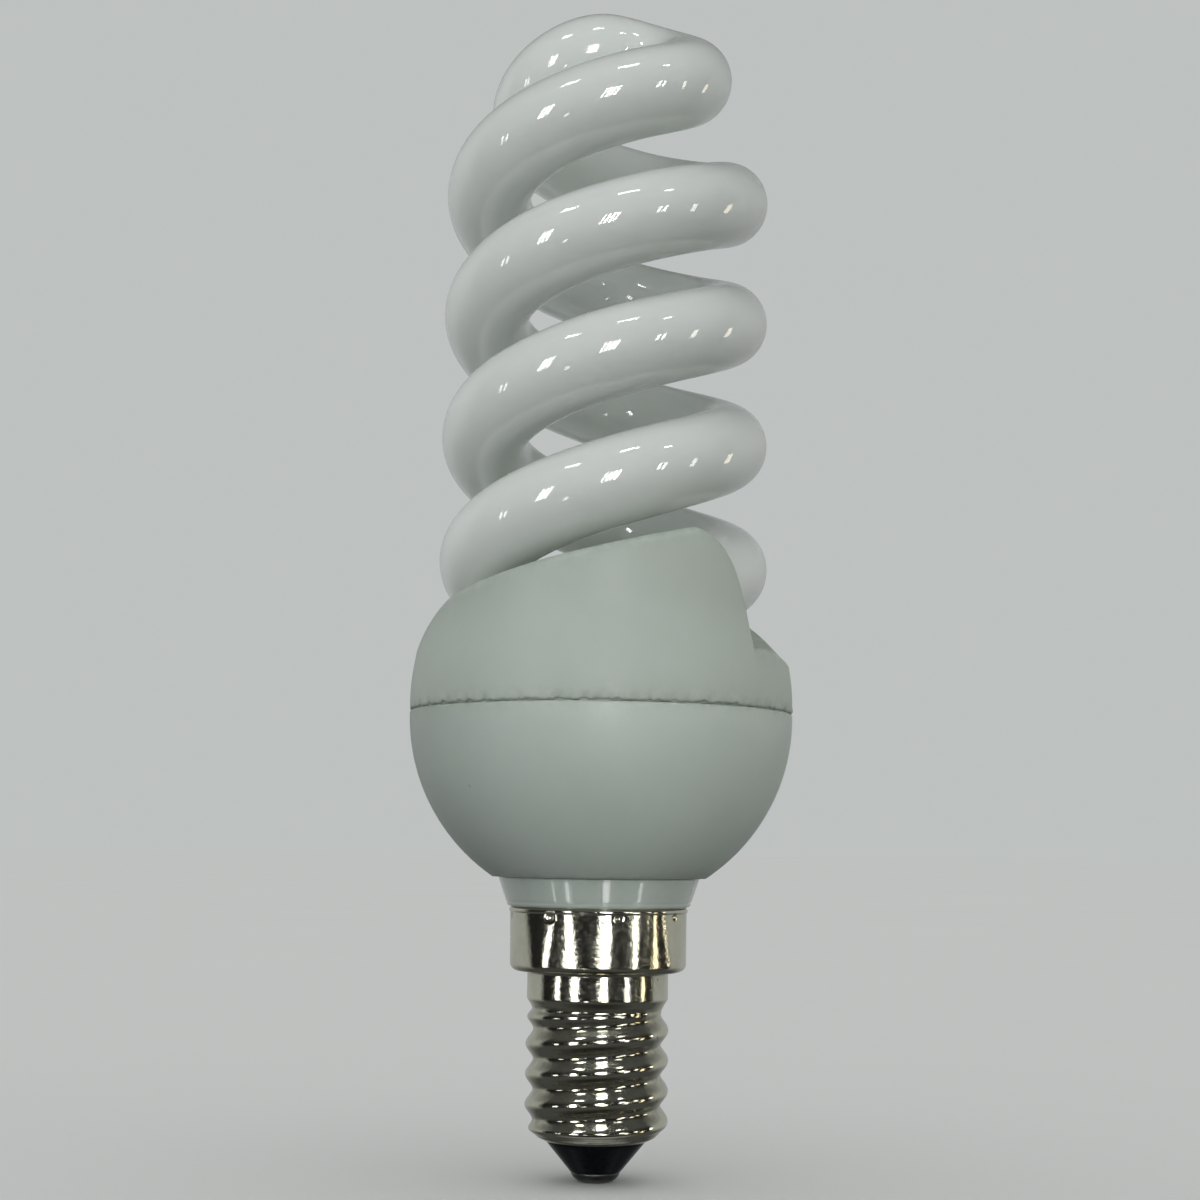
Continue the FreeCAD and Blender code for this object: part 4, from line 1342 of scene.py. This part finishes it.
    def build_sky(self) -> None:
        """Makes the even light all round: bright above the horizon and dim below it, with a short blend.

        Mirror rays see a room instead that is dark in front of the lamp and pale behind it, with a grey
        ceiling and a grey table that the lamp shades right under itself. The camera sees a plain backdrop.
        """
        world = bpy.data.worlds.new("even_light")
        world.use_nodes = True
        world.node_tree.nodes.clear()
        bench = NodeBench(world.node_tree)
        way = bench.add("ShaderNodeTexCoord").outputs["Generated"]
        parts = bench.add("ShaderNodeSeparateXYZ", Vector=way).outputs
        even = bench.join(Operation.PRODUCT, bench.remap(parts["Z"], self.sky_range, self.sky_span),
                          bench.remap(parts["Z"], self.overhead_range, self.overhead_span))
        below = bench.join(Operation.PRODUCT, bench.remap(parts["Z"], (1.0, 0.0), self.table_span),
                           bench.remap(parts["Z"], (0.0, 1.0), self.table_shade))
        above = bench.remap(parts["Z"], (0.0, 1.0), self.ceiling_span)
        walls = bench.remap(parts["Y"], self.room_range, self.room_span)
        lower = bench.mix(Mixed.NUMBERS, below, walls, self.table)
        room = bench.mix(Mixed.NUMBERS, above, lower, self.ceiling)
        ray = bench.add("ShaderNodeLightPath").outputs
        light = bench.mix(Mixed.NUMBERS, ray["Is Glossy Ray"], even, room)
        strength = bench.mix(Mixed.NUMBERS, ray["Is Camera Ray"], light, self.backdrop)
        background = bench.add("ShaderNodeBackground", Color=opaque(self.sky), Strength=strength)
        output = bench.add("ShaderNodeOutputWorld")
        bench.feed(output.inputs["Surface"], background.outputs["Background"])
        bpy.context.scene.world = world

    def build_camera(self) -> None:
        """Places the camera in front, tilted up and rolled, with its focal length in pixels of the image."""
        data = bpy.data.cameras.new("camera")
        data.sensor_width = self.sensor
        data.lens = self.focal_pixels * self.sensor / self.image_side
        data.shift_x = -self.axis_offset / self.image_side
        data.clip_start = self.camera_clip
        camera = bpy.data.objects.new("camera", data)
        bpy.context.scene.collection.objects.link(camera)
        place = Matrix.Translation((0.0, -self.camera_distance * MM, self.camera_height * MM))
        tilt = Matrix.Rotation(math.radians(90.0 + self.camera_tilt), 4, "X")
        roll = Matrix.Rotation(math.radians(self.camera_roll), 4, "Z")
        camera.matrix_world = place @ tilt @ roll
        bpy.context.scene.camera = camera

    def build(self, effects: Effects) -> None:
        """Makes floor, lights, sky and camera.

        Args:
            effects: the shared groups.
        """
        self.build_floor(effects)
        self.build_lights()
        self.build_sky()
        self.build_camera()


def main() -> None:
    """Builds the lamp from the cap upwards, then the studio."""
    logging.basicConfig(level=logging.INFO, format="%(name)s %(message)s")
    effects = Effects()
    lamp = (RolledShell(), CapTip(), LowerHousing(), UpperCover(), SpiralTube(), InnerParts())
    for assembly in (*lamp, Studio()):
        assembly.build(effects)


if __name__ == "__main__":
    main()
